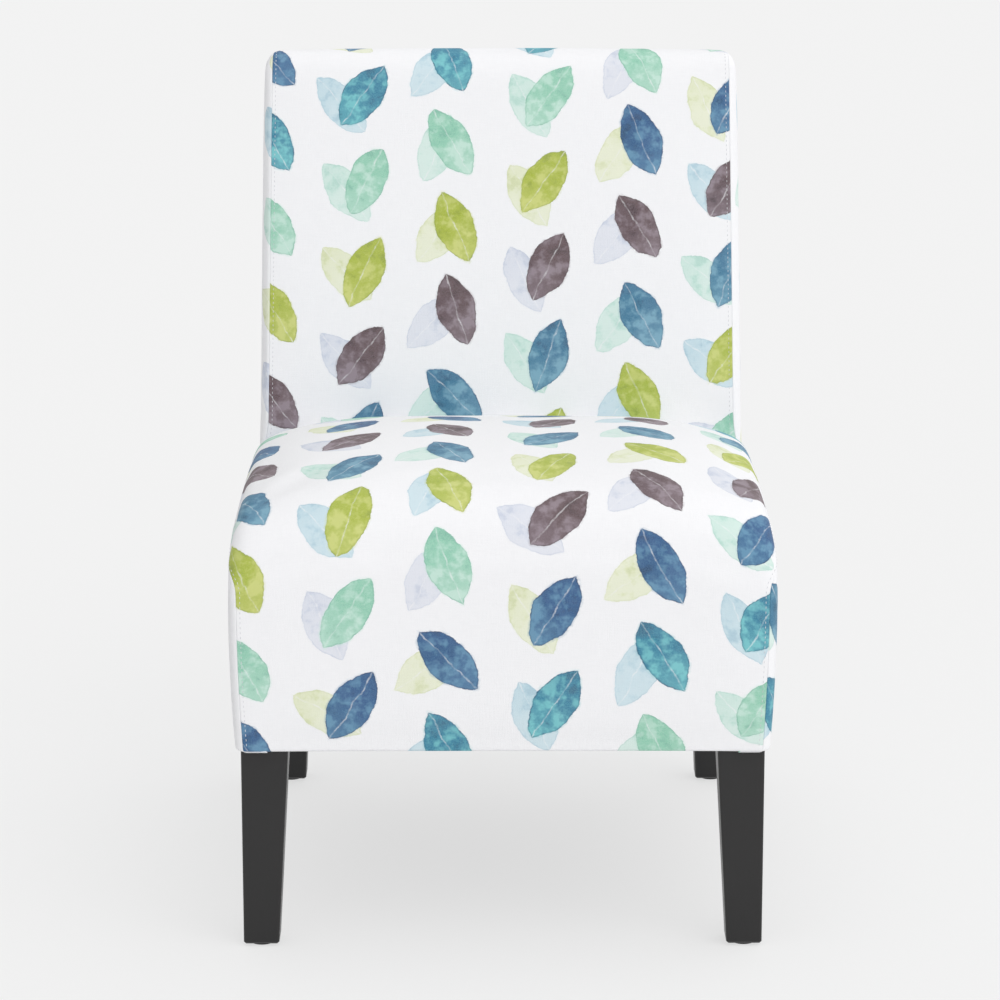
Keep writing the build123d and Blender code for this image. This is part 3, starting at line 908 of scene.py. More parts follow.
def resample(points: Array, walked: Array, stops: Array) -> Array:
    """Reads points at new distances along each row.

    Args:
        points: Points, as rows by points by any number.
        walked: The distance walked at each point.
        stops: The new distances, as rows by stops.

    Returns:
        The new points, as rows by stops by the same number.
    """
    made = np.empty((*stops.shape, points.shape[-1]))
    for row in range(len(points)):
        for axis in range(points.shape[-1]):
            made[row, :, axis] = np.interp(stops[row], walked[row], points[row, :, axis])
    return made


def coons(left: Array, right: Array, bottom: Array, top: Array) -> Array:
    """Fills four joined edges with a smooth grid.

    Args:
        left: Points upwards, as rows by any number.
        right: Points upwards, as many as left.
        bottom: Points from left to right.
        top: Points from left to right, as many as bottom.

    Returns:
        The grid, as rows by columns by the same number.
    """
    up = np.linspace(0, 1, len(left))[:, None, None]
    on = np.linspace(0, 1, len(bottom))[None, :, None]
    sides = (1 - on) * left[:, None] + on * right[:, None]
    ends = (1 - up) * bottom[None] + up * top[None]
    corners = (1 - up) * ((1 - on) * bottom[0] + on * bottom[-1]) + up * ((1 - on) * top[0] + on * top[-1])
    return sides + ends - corners


@dataclass
class SeatBody(Body):
    """The seat block: a bellied front, a waterfall edge and a crowned top."""

    width: float = 560.0
    top: float = 499.5
    packed_top: float = 506.0
    hem: float = 214.0
    crown_back: float = 215.0
    crown_radius: float = 1050.0
    cross_radius: float = 8000.0
    level_half: float = 130.0
    fall_radius: float = 480.0
    waterfall: float = 68.0
    belly_radius: float = 1700.0
    belly_height: float = 330.0
    flank_height: float = 375.0
    flank_radius: float = 2800.0
    shoulder_height: float = 406.0
    shoulder_radius: float = 180.0
    edge_round: float = 12.0
    top_round: float = 22.0
    seam_drop: float = 17.0
    hem_turn: float = 3.0
    origin_y: float = -362.2
    end_depth: float = 540.4
    end_radius: float = 3000.0
    end_reach: float = 150.0

    def __post_init__(self) -> None:
        """Samples the side view from the hem over the front edge to the back."""
        belly = np.array([self.belly_radius, self.belly_height])
        crown = np.array([self.crown_back, self.top - self.crown_radius])
        inner, outer = self.belly_radius - self.waterfall, self.crown_radius - self.waterfall
        gap = np.linalg.norm(crown - belly)
        along = (inner**2 - outer**2 + gap**2) / (2 * gap)
        towards = (crown - belly) / gap
        square = np.array([towards[1], -towards[0]])
        roll = belly + along * towards + math.sqrt(inner**2 - along**2) * square
        if roll[1] < self.hem:
            roll = belly + along * towards - math.sqrt(inner**2 - along**2) * square
        start = math.asin((self.hem + self.hem_turn - self.belly_height) / self.belly_radius)
        from_belly, from_crown = unit(roll - belly), unit(roll - crown)
        end = math.asin(from_belly[1])
        angles = np.linspace(start, end, 21)
        parts = [belly + self.belly_radius * np.column_stack([-np.cos(angles), np.sin(angles)])]
        begin, stop = math.atan2(from_belly[1], from_belly[0]), math.atan2(from_crown[1], from_crown[0])
        angles = np.linspace(begin, stop, 14)[1:]
        parts.append(roll + self.waterfall * np.column_stack([np.cos(angles), np.sin(angles)]))
        finish = math.acos((self.end_depth - self.crown_back) / self.crown_radius)
        angles = np.linspace(stop, finish, 44)[1:]
        parts.append(crown + self.crown_radius * np.column_stack([np.cos(angles), np.sin(angles)]))
        path = np.concatenate(parts)
        centres = np.concatenate([np.tile(c, (len(p), 1)) for c, p in zip((belly, roll, crown), parts)])
        self.depth, self.height = path[:, 0], path[:, 1]
        self.normal = unit(path - centres)
        self.rows = len(path)
        self.belly_rows = len(parts[0])
        self.length = walk(path[None])[0]
        rolled = smooth(self.height, self.shoulder_height, self.top - 0.6 * self.waterfall)
        rolled = np.where(np.arange(self.rows) < self.belly_rows + len(parts[1]), rolled, 1.0)
        self.rounding = self.edge_round + (self.top_round - self.edge_round) * rolled
        self.seam_share = 0.2 + 0.8 * rolled
        self.seam_fall = self.seam_drop * rolled

    def half_width(self, height: Array, inset: Array | float = 0.0) -> Array:
        """Half the width at a height: bellied, then straight, then leaning in over the shoulder."""
        height = np.asarray(height, float)
        half = self.width / 2
        belly = half - self.flank_radius + np.sqrt(
            np.maximum((self.flank_radius - inset) ** 2 - (self.flank_height - height) ** 2, 0)
        )
        shoulder = half - self.shoulder_radius + np.sqrt(
            np.maximum((self.shoulder_radius - inset) ** 2 - (height - self.shoulder_height) ** 2, 0)
        )
        return np.where(height >= self.shoulder_height, shoulder, np.where(height < self.flank_height, belly, half - inset))

    def side_normal(self, height: Array, inset: Array | float = 0.0) -> Array:
        """The side's outward direction at a height."""
        half = self.width / 2
        across = self.half_width(height, inset)
        shoulder = np.column_stack([across - half + self.shoulder_radius, 0 * height, height - self.shoulder_height])
        belly = np.column_stack([across - half + self.flank_radius, 0 * height, height - self.flank_height])
        flank = np.column_stack([np.ones_like(height), 0 * height, 0 * height])
        high, low = (height >= self.shoulder_height)[:, None], (height < self.flank_height)[:, None]
        return unit(np.where(high, shoulder, np.where(low, belly, flank)))

    def fall(self, across: Array) -> tuple[Array, Array]:
        """How far and how steeply the top has fallen at a distance from the middle."""
        past = np.maximum(np.abs(across) - self.level_half, 0)
        drop = across**2 / (2 * self.cross_radius) + past**2 / (2 * self.fall_radius)
        return drop, across / self.cross_radius + past / self.fall_radius

    def skin(self, across: Array) -> tuple[Array, Array]:
        """The face's point and direction in each row, crowned across the chair."""
        drop, slope = self.fall(across)
        level = np.clip((self.height - self.hem) / (self.height[self.belly_rows] - self.hem), 0, 1)
        height = self.height - level * drop
        belly = self.belly_radius - np.sqrt(self.belly_radius**2 - (height + drop - self.belly_height) ** 2)
        depth = np.where(np.arange(self.rows) < self.belly_rows, belly, self.depth)
        near_back = smooth(self.depth, self.end_depth - self.end_reach, self.end_depth)
        depth = depth + near_back * across**2 / (2 * self.end_radius)
        lean = np.arctan(slope)
        face = np.column_stack([self.normal[:, 1] * np.sin(lean), self.normal[:, 0], self.normal[:, 1] * np.cos(lean)])
        return np.column_stack([across, depth, height]), unit(face)

    def world(self, points: Array) -> Array:
        """Turns the seat's millimetres into metres in the chair's frame."""
        return (points + np.array([0.0, self.origin_y, 0.0])) * MM


@dataclass
class BackBody(Body):
    """The leaning back: a slightly crowned face that rolls over the top to a flat rear."""

    width: float = 560.0
    back_length: float = 674.0
    thickness: float = 100.0
    lean: float = math.radians(12.0)
    foot_y: float = 490.0
    hem: float = 214.0
    face_radius: float = 8000.0
    face_middle: float = 400.0
    cross_radius: float = 4800.0
    front_round: float = 25.0
    rear_round: float = 22.0
    face_edge: float = 11.0
    low_edge: float = 3.0
    top_edge: float = 20.0
    rear_edge: float = 9.0
    seam_inset: float = 9.0
    tuck: float = 185.0
    widths: tuple = ((-30, 274.5), (0, 274.5), (70, 278.6), (140, 280.0), (195, 279.2), (250, 277.5), (674, 272.5))
    origin_y: float = -362.2
    hem_turn: float = 3.0

    def __post_init__(self) -> None:
        """Samples the side view from the front hem over the top to the rear hem."""
        shoulder = self.back_length - self.front_round
        up = np.linspace(self.hem_height(self.bow(0.0)), shoulder, 56)
        front = np.column_stack([self.bow(up), up])
        start = self.bow(shoulder) + self.front_round
        angles = np.linspace(math.pi, math.pi / 2, 11)[1:]
        roll = np.column_stack([start + self.front_round * np.cos(angles), shoulder + self.front_round * np.sin(angles)])
        end = self.thickness - self.rear_round
        top = np.column_stack([np.linspace(start, end, 8)[1:], np.full(7, self.back_length)])
        angles = np.linspace(math.pi / 2, 0, 10)[1:]
        drop = self.back_length - self.rear_round
        fall = np.column_stack([end + self.rear_round * np.cos(angles), drop + self.rear_round * np.sin(angles)])
        down = np.linspace(drop, self.hem_height(self.thickness), 57)[1:]
        rear = np.column_stack([np.full(56, self.thickness), down])
        path = np.concatenate([front, roll, top, fall, rear])
        self.rows = len(path)
        self.rear_start = len(front) + len(roll) + len(top) + len(fall)
        self.depth, self.height = path[:, 0], path[:, 1]
        tangent = np.gradient(path, axis=0)
        self.normal = unit(np.column_stack([-tangent[:, 1], tangent[:, 0]]))
        self.length = walk(path[None])[0]
        forward, upward = self.normal[:, 0], self.normal[:, 1]
        face = self.low_edge + (self.face_edge - self.low_edge) * smooth(self.height, 190.0, 245.0)
        side = np.where(forward < 0, face, self.rear_edge)
        upright = np.clip(upward, 0, 1) ** 2
        self.rounding = side * (1 - upright) + self.top_edge * upright
        cover = np.clip(1 - self.seam_inset / self.rounding, 0, 1)
        self.seam_share = np.clip(1 - np.arccos(cover) / (math.pi / 2), 0.1, 0.9)
        self.seam_fall = np.zeros(self.rows)
        self.crown_share = np.where(forward < -0.2, 1.0, np.clip(1 - (self.depth - start) / (end - start), 0, 1))
        self.crown_share = np.where(forward > 0.2, 0.0, self.crown_share)

    def bow(self, height: Array | float) -> Array | float:
        """How far the face bows back at a height, in millimetres."""
        return self.face_radius - np.sqrt(self.face_radius**2 - (height - self.face_middle) ** 2)

    def hem_height(self, depth: Array | float) -> Array | float:
        """The height at which a depth is level with the hem's turn."""
        return (self.hem_turn + depth * math.sin(self.lean)) / math.cos(self.lean)

    def half_width(self, height: Array, inset: Array | float = 0.0) -> Array:
        """Half the width at a height, by the named widths."""
        places, halves = np.array(self.widths).T
        return np.interp(height, places, halves) - inset

    def side_normal(self, height: Array, inset: Array | float = 0.0) -> Array:
        """The side's outward direction at a height, which no inset changes."""
        height = np.asarray(height, float)
        slope = (self.half_width(height + 5) - self.half_width(height - 5)) / 10
        return unit(np.column_stack([np.ones_like(height), 0 * height, -slope]))

    def skin(self, across: Array) -> tuple[Array, Array]:
        """The face's point and direction in each row, bowed across the chair."""
        bow = self.cross_radius - np.sqrt(self.cross_radius**2 - across**2)
        depth = self.depth + self.crown_share * bow
        lean = across / self.cross_radius * self.crown_share
        face = np.column_stack([-self.normal[:, 0] * np.sin(lean), self.normal[:, 0] * np.cos(lean), self.normal[:, 1]])
        return np.column_stack([across, depth, self.height]), unit(face)

    def world(self, points: Array) -> Array:
        """Leans the back and turns its millimetres into metres in the chair's frame."""
        depth, height = points[..., 1], points[..., 2]
        y = self.foot_y + depth * math.cos(self.lean) + height * math.sin(self.lean) + self.origin_y
        z = self.hem - depth * math.sin(self.lean) + height * math.cos(self.lean)
        return np.stack([points[..., 0], y, z], -1) * MM


@dataclass
class Upholstery:
    """Turns a body into sewn panels, their stitches and their finish."""

    body: Body
    finishes: Finishes
    seam_stops: tuple = (0.0, 0.9, 2.2, 4.2, 6.4, 9.5, 14.0, 19.0, 24.5, 30.5, 37.0, 44.0, 52.0)
    lip: float = 2.2
    lap: float = 3.0
    lap_drop: float = 1.6
    hem_return: float = 22.0
    stitch_stop: int = 3
    side_ring: tuple = (0.0, 0.035, 0.085, 0.16, 0.25, 0.36, 0.5, 0.66, 0.83, 1.0)
    blow: float = 2.5
    cap: float = 2.4

    def across_panel(self, name: str, first: int, last: int, offset: tuple[float, float]) -> Mesher:
        """Builds a panel that runs from seam to seam.

        Args:
            name: The panel's name.
            first: Its first row.
            last: The row after its last.
            offset: Where the panel was cut from the cloth, in millimetres.

        Returns:
            The panel's quads.
        """
        body = self.body
        fine = body.face_curves(first, last)
        walked = walk(fine)
        total = walked[:, -1:]
        near = total - np.array(self.seam_stops)[None]
        inner = (total - self.seam_stops[-1]) * np.linspace(1, 0, 22)[None, 1:]
        stops = np.concatenate([near, inner], 1)[:, ::-1]
        half = resample(fine, walked, stops)
        mirror = np.array([-1.0, 1.0, 1.0])
        sewn = half[:, -1 - self.stitch_stop]
        self.seam_line = [body.world(sewn), body.world(sewn * mirror)]
        under = [body.seam_lip(self.lip), body.seam_lip(self.lip + self.lap_drop, self.lap)]
        half = np.concatenate([half, *(row[first:last, None] for row in under)], 1)
        across = np.concatenate([stops, total + self.lip, total + self.lip + self.lap], 1)
        mirrored = half * mirror
        points = np.concatenate([mirrored[:, :0:-1], half], 1)
        flat_x = np.concatenate([-across[:, :0:-1], across], 1) + offset[0]
        flat_y = np.repeat((body.length[first:last] + offset[1])[:, None], flat_x.shape[1], 1)
        held = np.zeros(points.shape[:2])
        held[:, :5] = held[:, -5:] = 1.0
        held[:2] = held[-2:] = 1.0
        mesher = Mesher(name)
        mesher.grid(body.world(points), np.stack([flat_x, flat_y], -1) * MM, held)
        return mesher

    def turn_under(
        self, mesher: Mesher, edge: Array, inward: Array, flat: Array, step: Array, lift: float = 0.0
    ) -> None:
        """Turns a panel's bottom edge under the frame.

        Args:
            mesher: The panel's quads.
            edge: The edge's points, in millimetres in the chair's frame.
            inward: The level direction under the chair.
            flat: The edge on the flat cloth, in millimetres.
            step: The direction past the edge on the flat cloth.
            lift: How far the turned cloth stays above the lowest layer, in millimetres.
        """
        turn = self.body.hem_turn
        rows, flats = [edge], [flat]
        for angle in np.radians([30, 60, 90]):
            drop = np.array([0.0, 0.0, (lift - turn) * math.sin(angle)])
            rows.append(edge + inward * turn * (1 - math.cos(angle)) + drop)
            flats.append(flat + step * turn * angle)
        for reach in (self.hem_return / 4, self.hem_return):
            rows.append(rows[3] + inward * reach)
            flats.append(flats[3] + step * reach)
        mesher.grid(np.stack(rows) * MM, np.stack(flats) * MM, np.ones((len(rows), len(edge))))

    def blown(self, piece: bpy.types.Object, frames: int = 14) -> None:
        """Blows a held panel out like cloth over springy padding, then keeps the result.

        Args:
            piece: The panel.
            frames: How many steps to simulate.
        """
        rest = mesh_points(piece.data)
        held = np.empty(len(rest), np.float32)
        piece.data.attributes["held"].data.foreach_get("value", held)
        group = piece.vertex_groups.new(name="held")
        for index in np.flatnonzero(held > 0):
            group.add([int(index)], float(held[index]), "REPLACE")
        cloth = piece.modifiers.new("Cloth", "CLOTH")
        cloth.settings.vertex_group_mass = "held"
        cloth.settings.quality = 6
        cloth.settings.use_pressure = True
        cloth.settings.uniform_pressure_force = self.blow
        cloth.settings.tension_stiffness = 30
        cloth.settings.compression_stiffness = 30
        cloth.settings.bending_stiffness = 2.0
        cloth.settings.effector_weights.gravity = 0
        cloth.collision_settings.use_collision = False
        cloth.point_cache.frame_start, cloth.point_cache.frame_end = 1, frames
        for step in range(1, frames + 1):
            bpy.context.scene.frame_set(step)
        moved = mesh_points(piece.evaluated_get(bpy.context.evaluated_depsgraph_get()).data) - rest
        piece.modifiers.clear()
        bpy.context.scene.frame_set(1)
        far = np.linalg.norm(moved, axis=1, keepdims=True)
        limit = self.cap * MM
        set_points(piece.data, rest + moved * (limit * np.tanh(far / limit) / np.maximum(far, 1e-9)))

    def dress(self, mesher: Mesher, nodes: tuple[str, ...], wrinkle: float = 0.35) -> bpy.types.Object:
        """Blows, smooths, puckers and thickens a panel, and gives it its finish.

        Args:
            mesher: The panel's quads.
            nodes: The CAD nodes that it stands for.
            wrinkle: How far the cloth lies uneven, in millimetres.

        Returns:
            The finished panel.
        """
        piece = mesher.build()
        self.blown(piece)
        refine = piece.modifiers.new("Refine", "SUBSURF")
        refine.levels = refine.render_levels = 1
        keep_evaluated(piece)
        points, normals = mesh_points(piece.data), mesh_normals(piece.data)
        held = np.empty(len(points), np.float32)
        piece.data.attributes["held"].data.foreach_get("value", held)
        shift = (1 - held) * np.array([
            noise.noise(Vector(point) * 11.0) * 1.0
            + noise.noise(Vector(point) * 38.0 + Vector((7.0, 0.0, 0.0))) * 0.35
            for point in points
        ])
        set_points(piece.data, points + normals * (shift * wrinkle * MM)[:, None])
        thick = piece.modifiers.new("Thickness", "SOLIDIFY")
        thick.thickness = 1.2 * MM
        thick.offset = -1.0
        thick.use_rim = True
        piece.data.materials.clear()
        piece.data.materials.append(self.finishes.cloth)
        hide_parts(*nodes)
        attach(piece, "root")
        return piece


def stitches(
    name: str, lines: list[Array], cover: bpy.types.Object, finish: bpy.types.Material,
    pitch: float = 5.2, length: float = 2.9, radius: float = 0.33,
) -> bpy.types.Object:
    """Sews a row of thread stitches along lines on a panel.

    Args:
        name: The piece's name.
        lines: Lines of points in metres that lie near the panel.
        cover: The panel.
        finish: The thread's material.
        pitch: From one stitch to the next, in millimetres.
        length: A stitch's length, in millimetres.
        radius: The thread's radius, in millimetres.

    Returns:
        The stitches as one piece.
    """
    surface = BVHTree.FromPolygons(
        [Vector(point) for point in mesh_points(cover.data)],
        [tuple(polygon.vertices) for polygon in cover.data.polygons],
    )
    stations = np.array([-1.0, -0.82, -0.4, 0.0, 0.4, 0.82, 1.0])
    swell = np.array([0.25, 0.8, 1.0, 1.0, 1.0, 0.8, 0.25])
    sink = np.array([-1.3, -0.45, 0.1, 0.25, 0.1, -0.45, -1.3])
    angles = np.linspace(0, math.tau, 7)[:-1]
    points, faces = [], []
    for line in lines:
        walked = walk(line[None])
        count = max(int(walked[0, -1] / (pitch * MM)), 2)
        stops = np.linspace(pitch * MM, walked[0, -1] - pitch * MM, count)
        for place in resample(line[None], walked, stops[None])[0]:
            near, normal, _, _ = surface.find_nearest(Vector(place))
            index = int(np.argmin(np.linalg.norm(line - place, axis=1)))
            index = min(max(index, 1), len(line) - 2)
            ahead = Vector(line[index + 1] - line[index - 1])
            ahead = (ahead - normal * ahead.dot(normal)).normalized()
            aside = normal.cross(ahead)
            base = sum(len(part) for part in points)
            rings = []
            for along, fat, deep in zip(stations, swell, sink):
                centre = near + ahead * (along * length / 2 * MM) + normal * (deep * radius * MM)
                rings.append([
                    centre + (aside * math.cos(angle) + normal * math.sin(angle)) * (fat * radius * MM)
                    for angle in angles
                ])
            points.append(np.array([tuple(point) for ring in rings for point in ring]))
            for ring in range(len(stations) - 1):
                for corner in range(6):
                    after = (corner + 1) % 6
                    low, high = base + ring * 6, base + (ring + 1) * 6
                    faces.append((low + corner, low + after, high + after, high + corner))
            faces.append(tuple(base + corner for corner in range(5, -1, -1)))
            faces.append(tuple(base + (len(stations) - 1) * 6 + corner for corner in range(6)))
    mesh = bpy.data.meshes.new(name)
    mesh.from_pydata(np.concatenate(points).tolist(), [], faces)
    mesh.polygons.foreach_set("use_smooth", [True] * len(mesh.polygons))
    mesh.materials.append(finish)
    made = bpy.data.objects.new(name, mesh)
    bpy.context.scene.collection.objects.link(made)
    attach(made, "root")
    return made


@dataclass
class Seat(Upholstery):
    """The seat's cover: one cloth over front and top, and a panel on each side."""

    side_depth: float = 14.0
    tuck_turn: tuple = ((0.0, 0.0), (0.8, 0.25), (2.6, 0.3), (9.0, 1.3), (16.0, 6.0))

    def front_and_top(self) -> bpy.types.Object:
        """Builds the cloth over the front edge, with its hem turned under and its tuck at the back."""
        body = self.body
        mesher = self.across_panel("seat_front_and_top_cloth", 0, body.rows, (0.0, 0.0))
        columns = mesher.places[0].reshape(body.rows, -1, 3) / MM
        flat = mesher.flats[0].reshape(body.rows, -1, 2) / MM
        self.turn_under(mesher, columns[0], np.array([0.0, 1.0, 0.0]), flat[0], np.array([0.0, -1.0]))
        tucks = np.array([[0.0, 0.0], [0.3, -1.0], [-0.2, -4.0], [-1.7, -11.0]])
        tuck = columns[-1] + np.insert(tucks, 0, 0.0, axis=1)[:, None]
        tuck_flat = flat[-1] - np.stack([0 * tucks[:, 1], tucks[:, 1]], 1)[:, None]
        mesher.grid(tuck * MM, tuck_flat * MM, np.ones(tuck.shape[:2]))
        return self.dress(mesher, ("seat_cover",))

    def side(self, side: Side, back: "BackBody") -> bpy.types.Object:
        """Builds one side panel.

        Args:
            side: Which side.
            back: The back, whose face the panel ends against.

        Returns:
            The panel.
        """
        body = self.body
        curve, flat = body.side_curves(self.side_depth)
        walked = walk(curve)
        stops = walked[:, -1:] * np.array(self.side_ring)[None]
        ring, ring_flat = resample(curve, walked, stops), resample(flat, walked, stops)
        ring = np.concatenate([body.seam_lip(self.lip)[:, None], ring], 1)
        ring_flat = np.concatenate([ring_flat[:, :1] + unit(body.normal)[:, None] * self.lip, ring_flat], 1)
        inner = ring[:, -1, 1:]
        split = body.belly_rows + 6
        left, top = inner[: split + 1], inner[split:]
        low = body.hem + body.hem_turn
        foot = self.rear_edge(low, back)
        right = np.linspace([foot, low], top[-1], len(left))
        right[:, 0] = [self.rear_edge(height, back) for height in right[:, 1]]
        right[-1] = top[-1]
        bottom = np.linspace(left[0], right[0], len(top))
        plane = coons(left, right, bottom, top)
        fill = np.concatenate([body.half_width(plane[..., 1])[..., None], plane], -1)
        mirror = np.array([side.value, 1.0, 1.0])
        offset = np.array([1800.0 if side is Side.LEFT else 2900.0, 37.0])
        facing = np.array([side.value, 1.0])
        held = np.zeros(ring.shape[:2])
        held[:, :5] = 1.0
        held[:1] = held[-1:] = 1.0
        mesher = Mesher(f"seat_{side.word}_side_cloth")
        mesher.grid(body.world(ring * mirror), (ring_flat * facing + offset) * MM, held)
        held = np.zeros(fill.shape[:2])
        held[:, -1] = held[:1] = 1.0
        mesher.grid(body.world(fill * mirror), (plane * facing + offset) * MM, held)
        edge = body.world(np.concatenate([ring[0], fill[0, 1:]]) * mirror) / MM
        edge_flat = np.concatenate([ring_flat[0], plane[0, 1:]]) * facing + offset
        self.turn_under(mesher, edge, np.array([-side.value, 0.0, 0.0]), edge_flat, np.array([0.0, -1.0]), 0.7)
        line = np.concatenate([fill[:, -1], ring[-1, -2::-1]])
        line_flat = np.concatenate([plane[:, -1], ring_flat[-1, -2::-1]])
        tuck = np.stack([line + [-aside, behind, 0.0] for aside, behind in self.tuck_turn])
        tuck_flat = np.stack([line_flat + [aside, 0.0] for aside, _ in self.tuck_turn])
        mesher.grid(body.world(tuck * mirror), (tuck_flat * facing + offset) * MM, np.ones(tuck.shape[:2]))
        return self.dress(mesher, (f"{side.word}_seat_side_cover",))

    def rear_edge(self, height: float, back: "BackBody") -> float:
        """Where the side panel ends at a height: just in front of the back's face."""
        crown = back.cross_radius - math.sqrt(back.cross_radius**2 - (self.body.width / 2) ** 2)
        depth = back.bow((height - back.hem) / math.cos(back.lean)) + crown - 0.6
        rise = (height - back.hem + depth * math.sin(back.lean)) / math.cos(back.lean)
        return back.foot_y + depth * math.cos(back.lean) + rise * math.sin(back.lean)


@dataclass
class Back(Upholstery):
    """The back's cover: face and roll-over, rear panel and a boxing strip on each side."""

    side_depth: float = 4.0
    pulled: tuple = (225.0, 300.0)

    def face(self) -> bpy.types.Object:
        """Builds the cloth of the face, which rolls over the top to the rear."""
        body = self.body
        first = int(np.searchsorted(body.height[:50], body.tuck))
        mesher = self.across_panel("back_face_and_top_cloth", first, body.rear_start, (0.0, 1400.0))
        tight = 1 - smooth(body.height[first : body.rear_start], *self.pulled)
        tight[body.rear_start // 2 :] = 0.0
        mesher.held[0] = np.maximum(mesher.held[0], np.repeat(tight, len(mesher.held[0]) // len(tight)))
        return self.dress(mesher, ("inside_back_cover",))

    def rear(self) -> bpy.types.Object:
        """Builds the rear panel."""
        body = self.body
        mesher = self.across_panel("back_rear_cloth", body.rear_start - 1, body.rows, (3800.0, 0.0))
        count = body.rows - body.rear_start + 1
        edge = mesher.places[0].reshape(count, -1, 3)[-1] / MM
        edge_flat = mesher.flats[0].reshape(count, -1, 2)[-1] / MM
        self.turn_under(mesher, edge, np.array([0.0, -1.0, 0.0]), edge_flat, np.array([0.0, 1.0]))
        return self.dress(mesher, ("outside_back_cover",))

    def side(self, side: Side) -> bpy.types.Object:
        """Builds one boxing strip, from the hem over the top corner to the rear.

        Args:
            side: Which side.

        Returns:
            The strip.
        """
        body = self.body
        curve, flat = body.side_curves(self.side_depth)
        walked = walk(curve)
        stops = walked[:, -1:] * np.array(self.side_ring)[None]
        ring, ring_flat = resample(curve, walked, stops), resample(flat, walked, stops)
        ring = np.concatenate([body.seam_lip(self.lip)[:, None], ring], 1)
        ring_flat = np.concatenate([ring_flat[:, :1] + unit(body.normal)[:, None] * self.lip, ring_flat], 1)
        for row in (0, -1):
            level = body.hem_height(ring[row, :, 1])
            ring_flat[row, :, 1] += level - ring[row, :, 2]
            ring[row, :, 2] = level
        inner = ring[:, -1, 1:]
        rear_turn = body.rear_start - 5
        front_turn = body.rows - 1 - rear_turn
        left, top, right = inner[: front_turn + 1], inner[front_turn : rear_turn + 1], inner[rear_turn:][::-1]
        bottom = np.linspace(left[0], right[0], len(top))
        plane = coons(left, right, bottom, top)
        fill = np.concatenate([body.half_width(plane[..., 1])[..., None], plane], -1)
        mirror = np.array([side.value, 1.0, 1.0])
        offset = np.array([4900.0 if side is Side.LEFT else 5600.0, 61.0])
        facing = np.array([side.value, 1.0])
        held = np.zeros(ring.shape[:2])
        held[:, :5] = 1.0
        held[:1] = held[-1:] = 1.0
        mesher = Mesher(f"back_{side.word}_boxing_cloth")
        mesher.grid(body.world(ring * mirror), (ring_flat * facing + offset) * MM, held)
        held = np.zeros(fill.shape[:2])
        held[:1] = 1.0
        mesher.grid(body.world(fill * mirror), (plane * facing + offset) * MM, held)
        edge = body.world(np.concatenate([ring[0], fill[0, 1:-1], ring[-1, ::-1]]) * mirror) / MM
        edge_flat = np.concatenate([ring_flat[0], plane[0, 1:-1], ring_flat[-1, ::-1]]) * facing + offset
        self.turn_under(mesher, edge, np.array([-side.value, 0.0, 0.0]), edge_flat, np.array([0.0, -1.0]), 0.7)
        return self.dress(mesher, (f"{side.word}_back_side_cover",))


@dataclass
class Filling:
    """Foam and wadding under the covers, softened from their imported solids."""

    finishes: Finishes
    seat: SeatBody
    packed_radius: float = 3000.0
    voxel: float = 6.0
    shrink: float = 1.6

    def seat_fall(self, points: Array) -> Array:
        """How far the seat's foam sinks at each point to stay under the cover, in metres."""
        across = points[:, 0] / MM
        extra = np.maximum(self.seat.fall(across)[0] - across**2 / (2 * self.packed_radius), 0)
        extra += self.seat.packed_top - self.seat.top
        return extra * smooth(points[:, 2] / MM, self.seat.hem, self.seat.shoulder_height) * MM

    def pad(self, node: str, name: str, slot: str, finish: bpy.types.Material, fill: float) -> bpy.types.Object:
        """Softens one packed pad into a rounded, slightly shrunken filling.

        Args:
            node: The CAD node that it stands for.
            name: The piece's name.
            slot: The record's material slot. Not used.
            finish: The material.
            fill: How full it is. Not used.

        Returns:
            The pad.
        """
        source = frame["nodes"][node]
        made = bpy.data.objects.new(name, source.data.copy())
        bpy.context.scene.collection.objects.link(made)
        remesh = made.modifiers.new("Remesh", "REMESH")
        remesh.mode = "VOXEL"
        remesh.voxel_size = self.voxel * MM
        relax = made.modifiers.new("Relax", "SMOOTH")
        relax.factor, relax.iterations = 0.5, 4
        keep_evaluated(made)
        points, normals = mesh_points(made.data), mesh_normals(made.data)
        points -= normals * self.shrink * MM
        if node == "seat_foam":
            points[:, 2] -= self.seat_fall(points)
        set_points(made.data, points)
        made.data.polygons.foreach_set("use_smooth", [True] * len(made.data.polygons))
        made.data.materials.clear()
        made.data.materials.append(finish)
        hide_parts(node)
        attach(made, "root")
        return made

    def build(self) -> list[bpy.types.Object]:
        """Builds every pad."""
        foam, wadding = self.finishes.foam, self.finishes.wadding
        return [
            self.pad("seat_foam", "seat_foam_block", "foam", foam, 0.95),
            self.pad("back_foam", "back_foam_block", "foam", foam, 0.95),
        ] + [
            self.pad(node, node + "_fleece", "wadding", wadding, 0.7)
            for node in ("front_rail_pad", "left_rail_pad", "right_rail_pad", "rear_wadding")
        ]


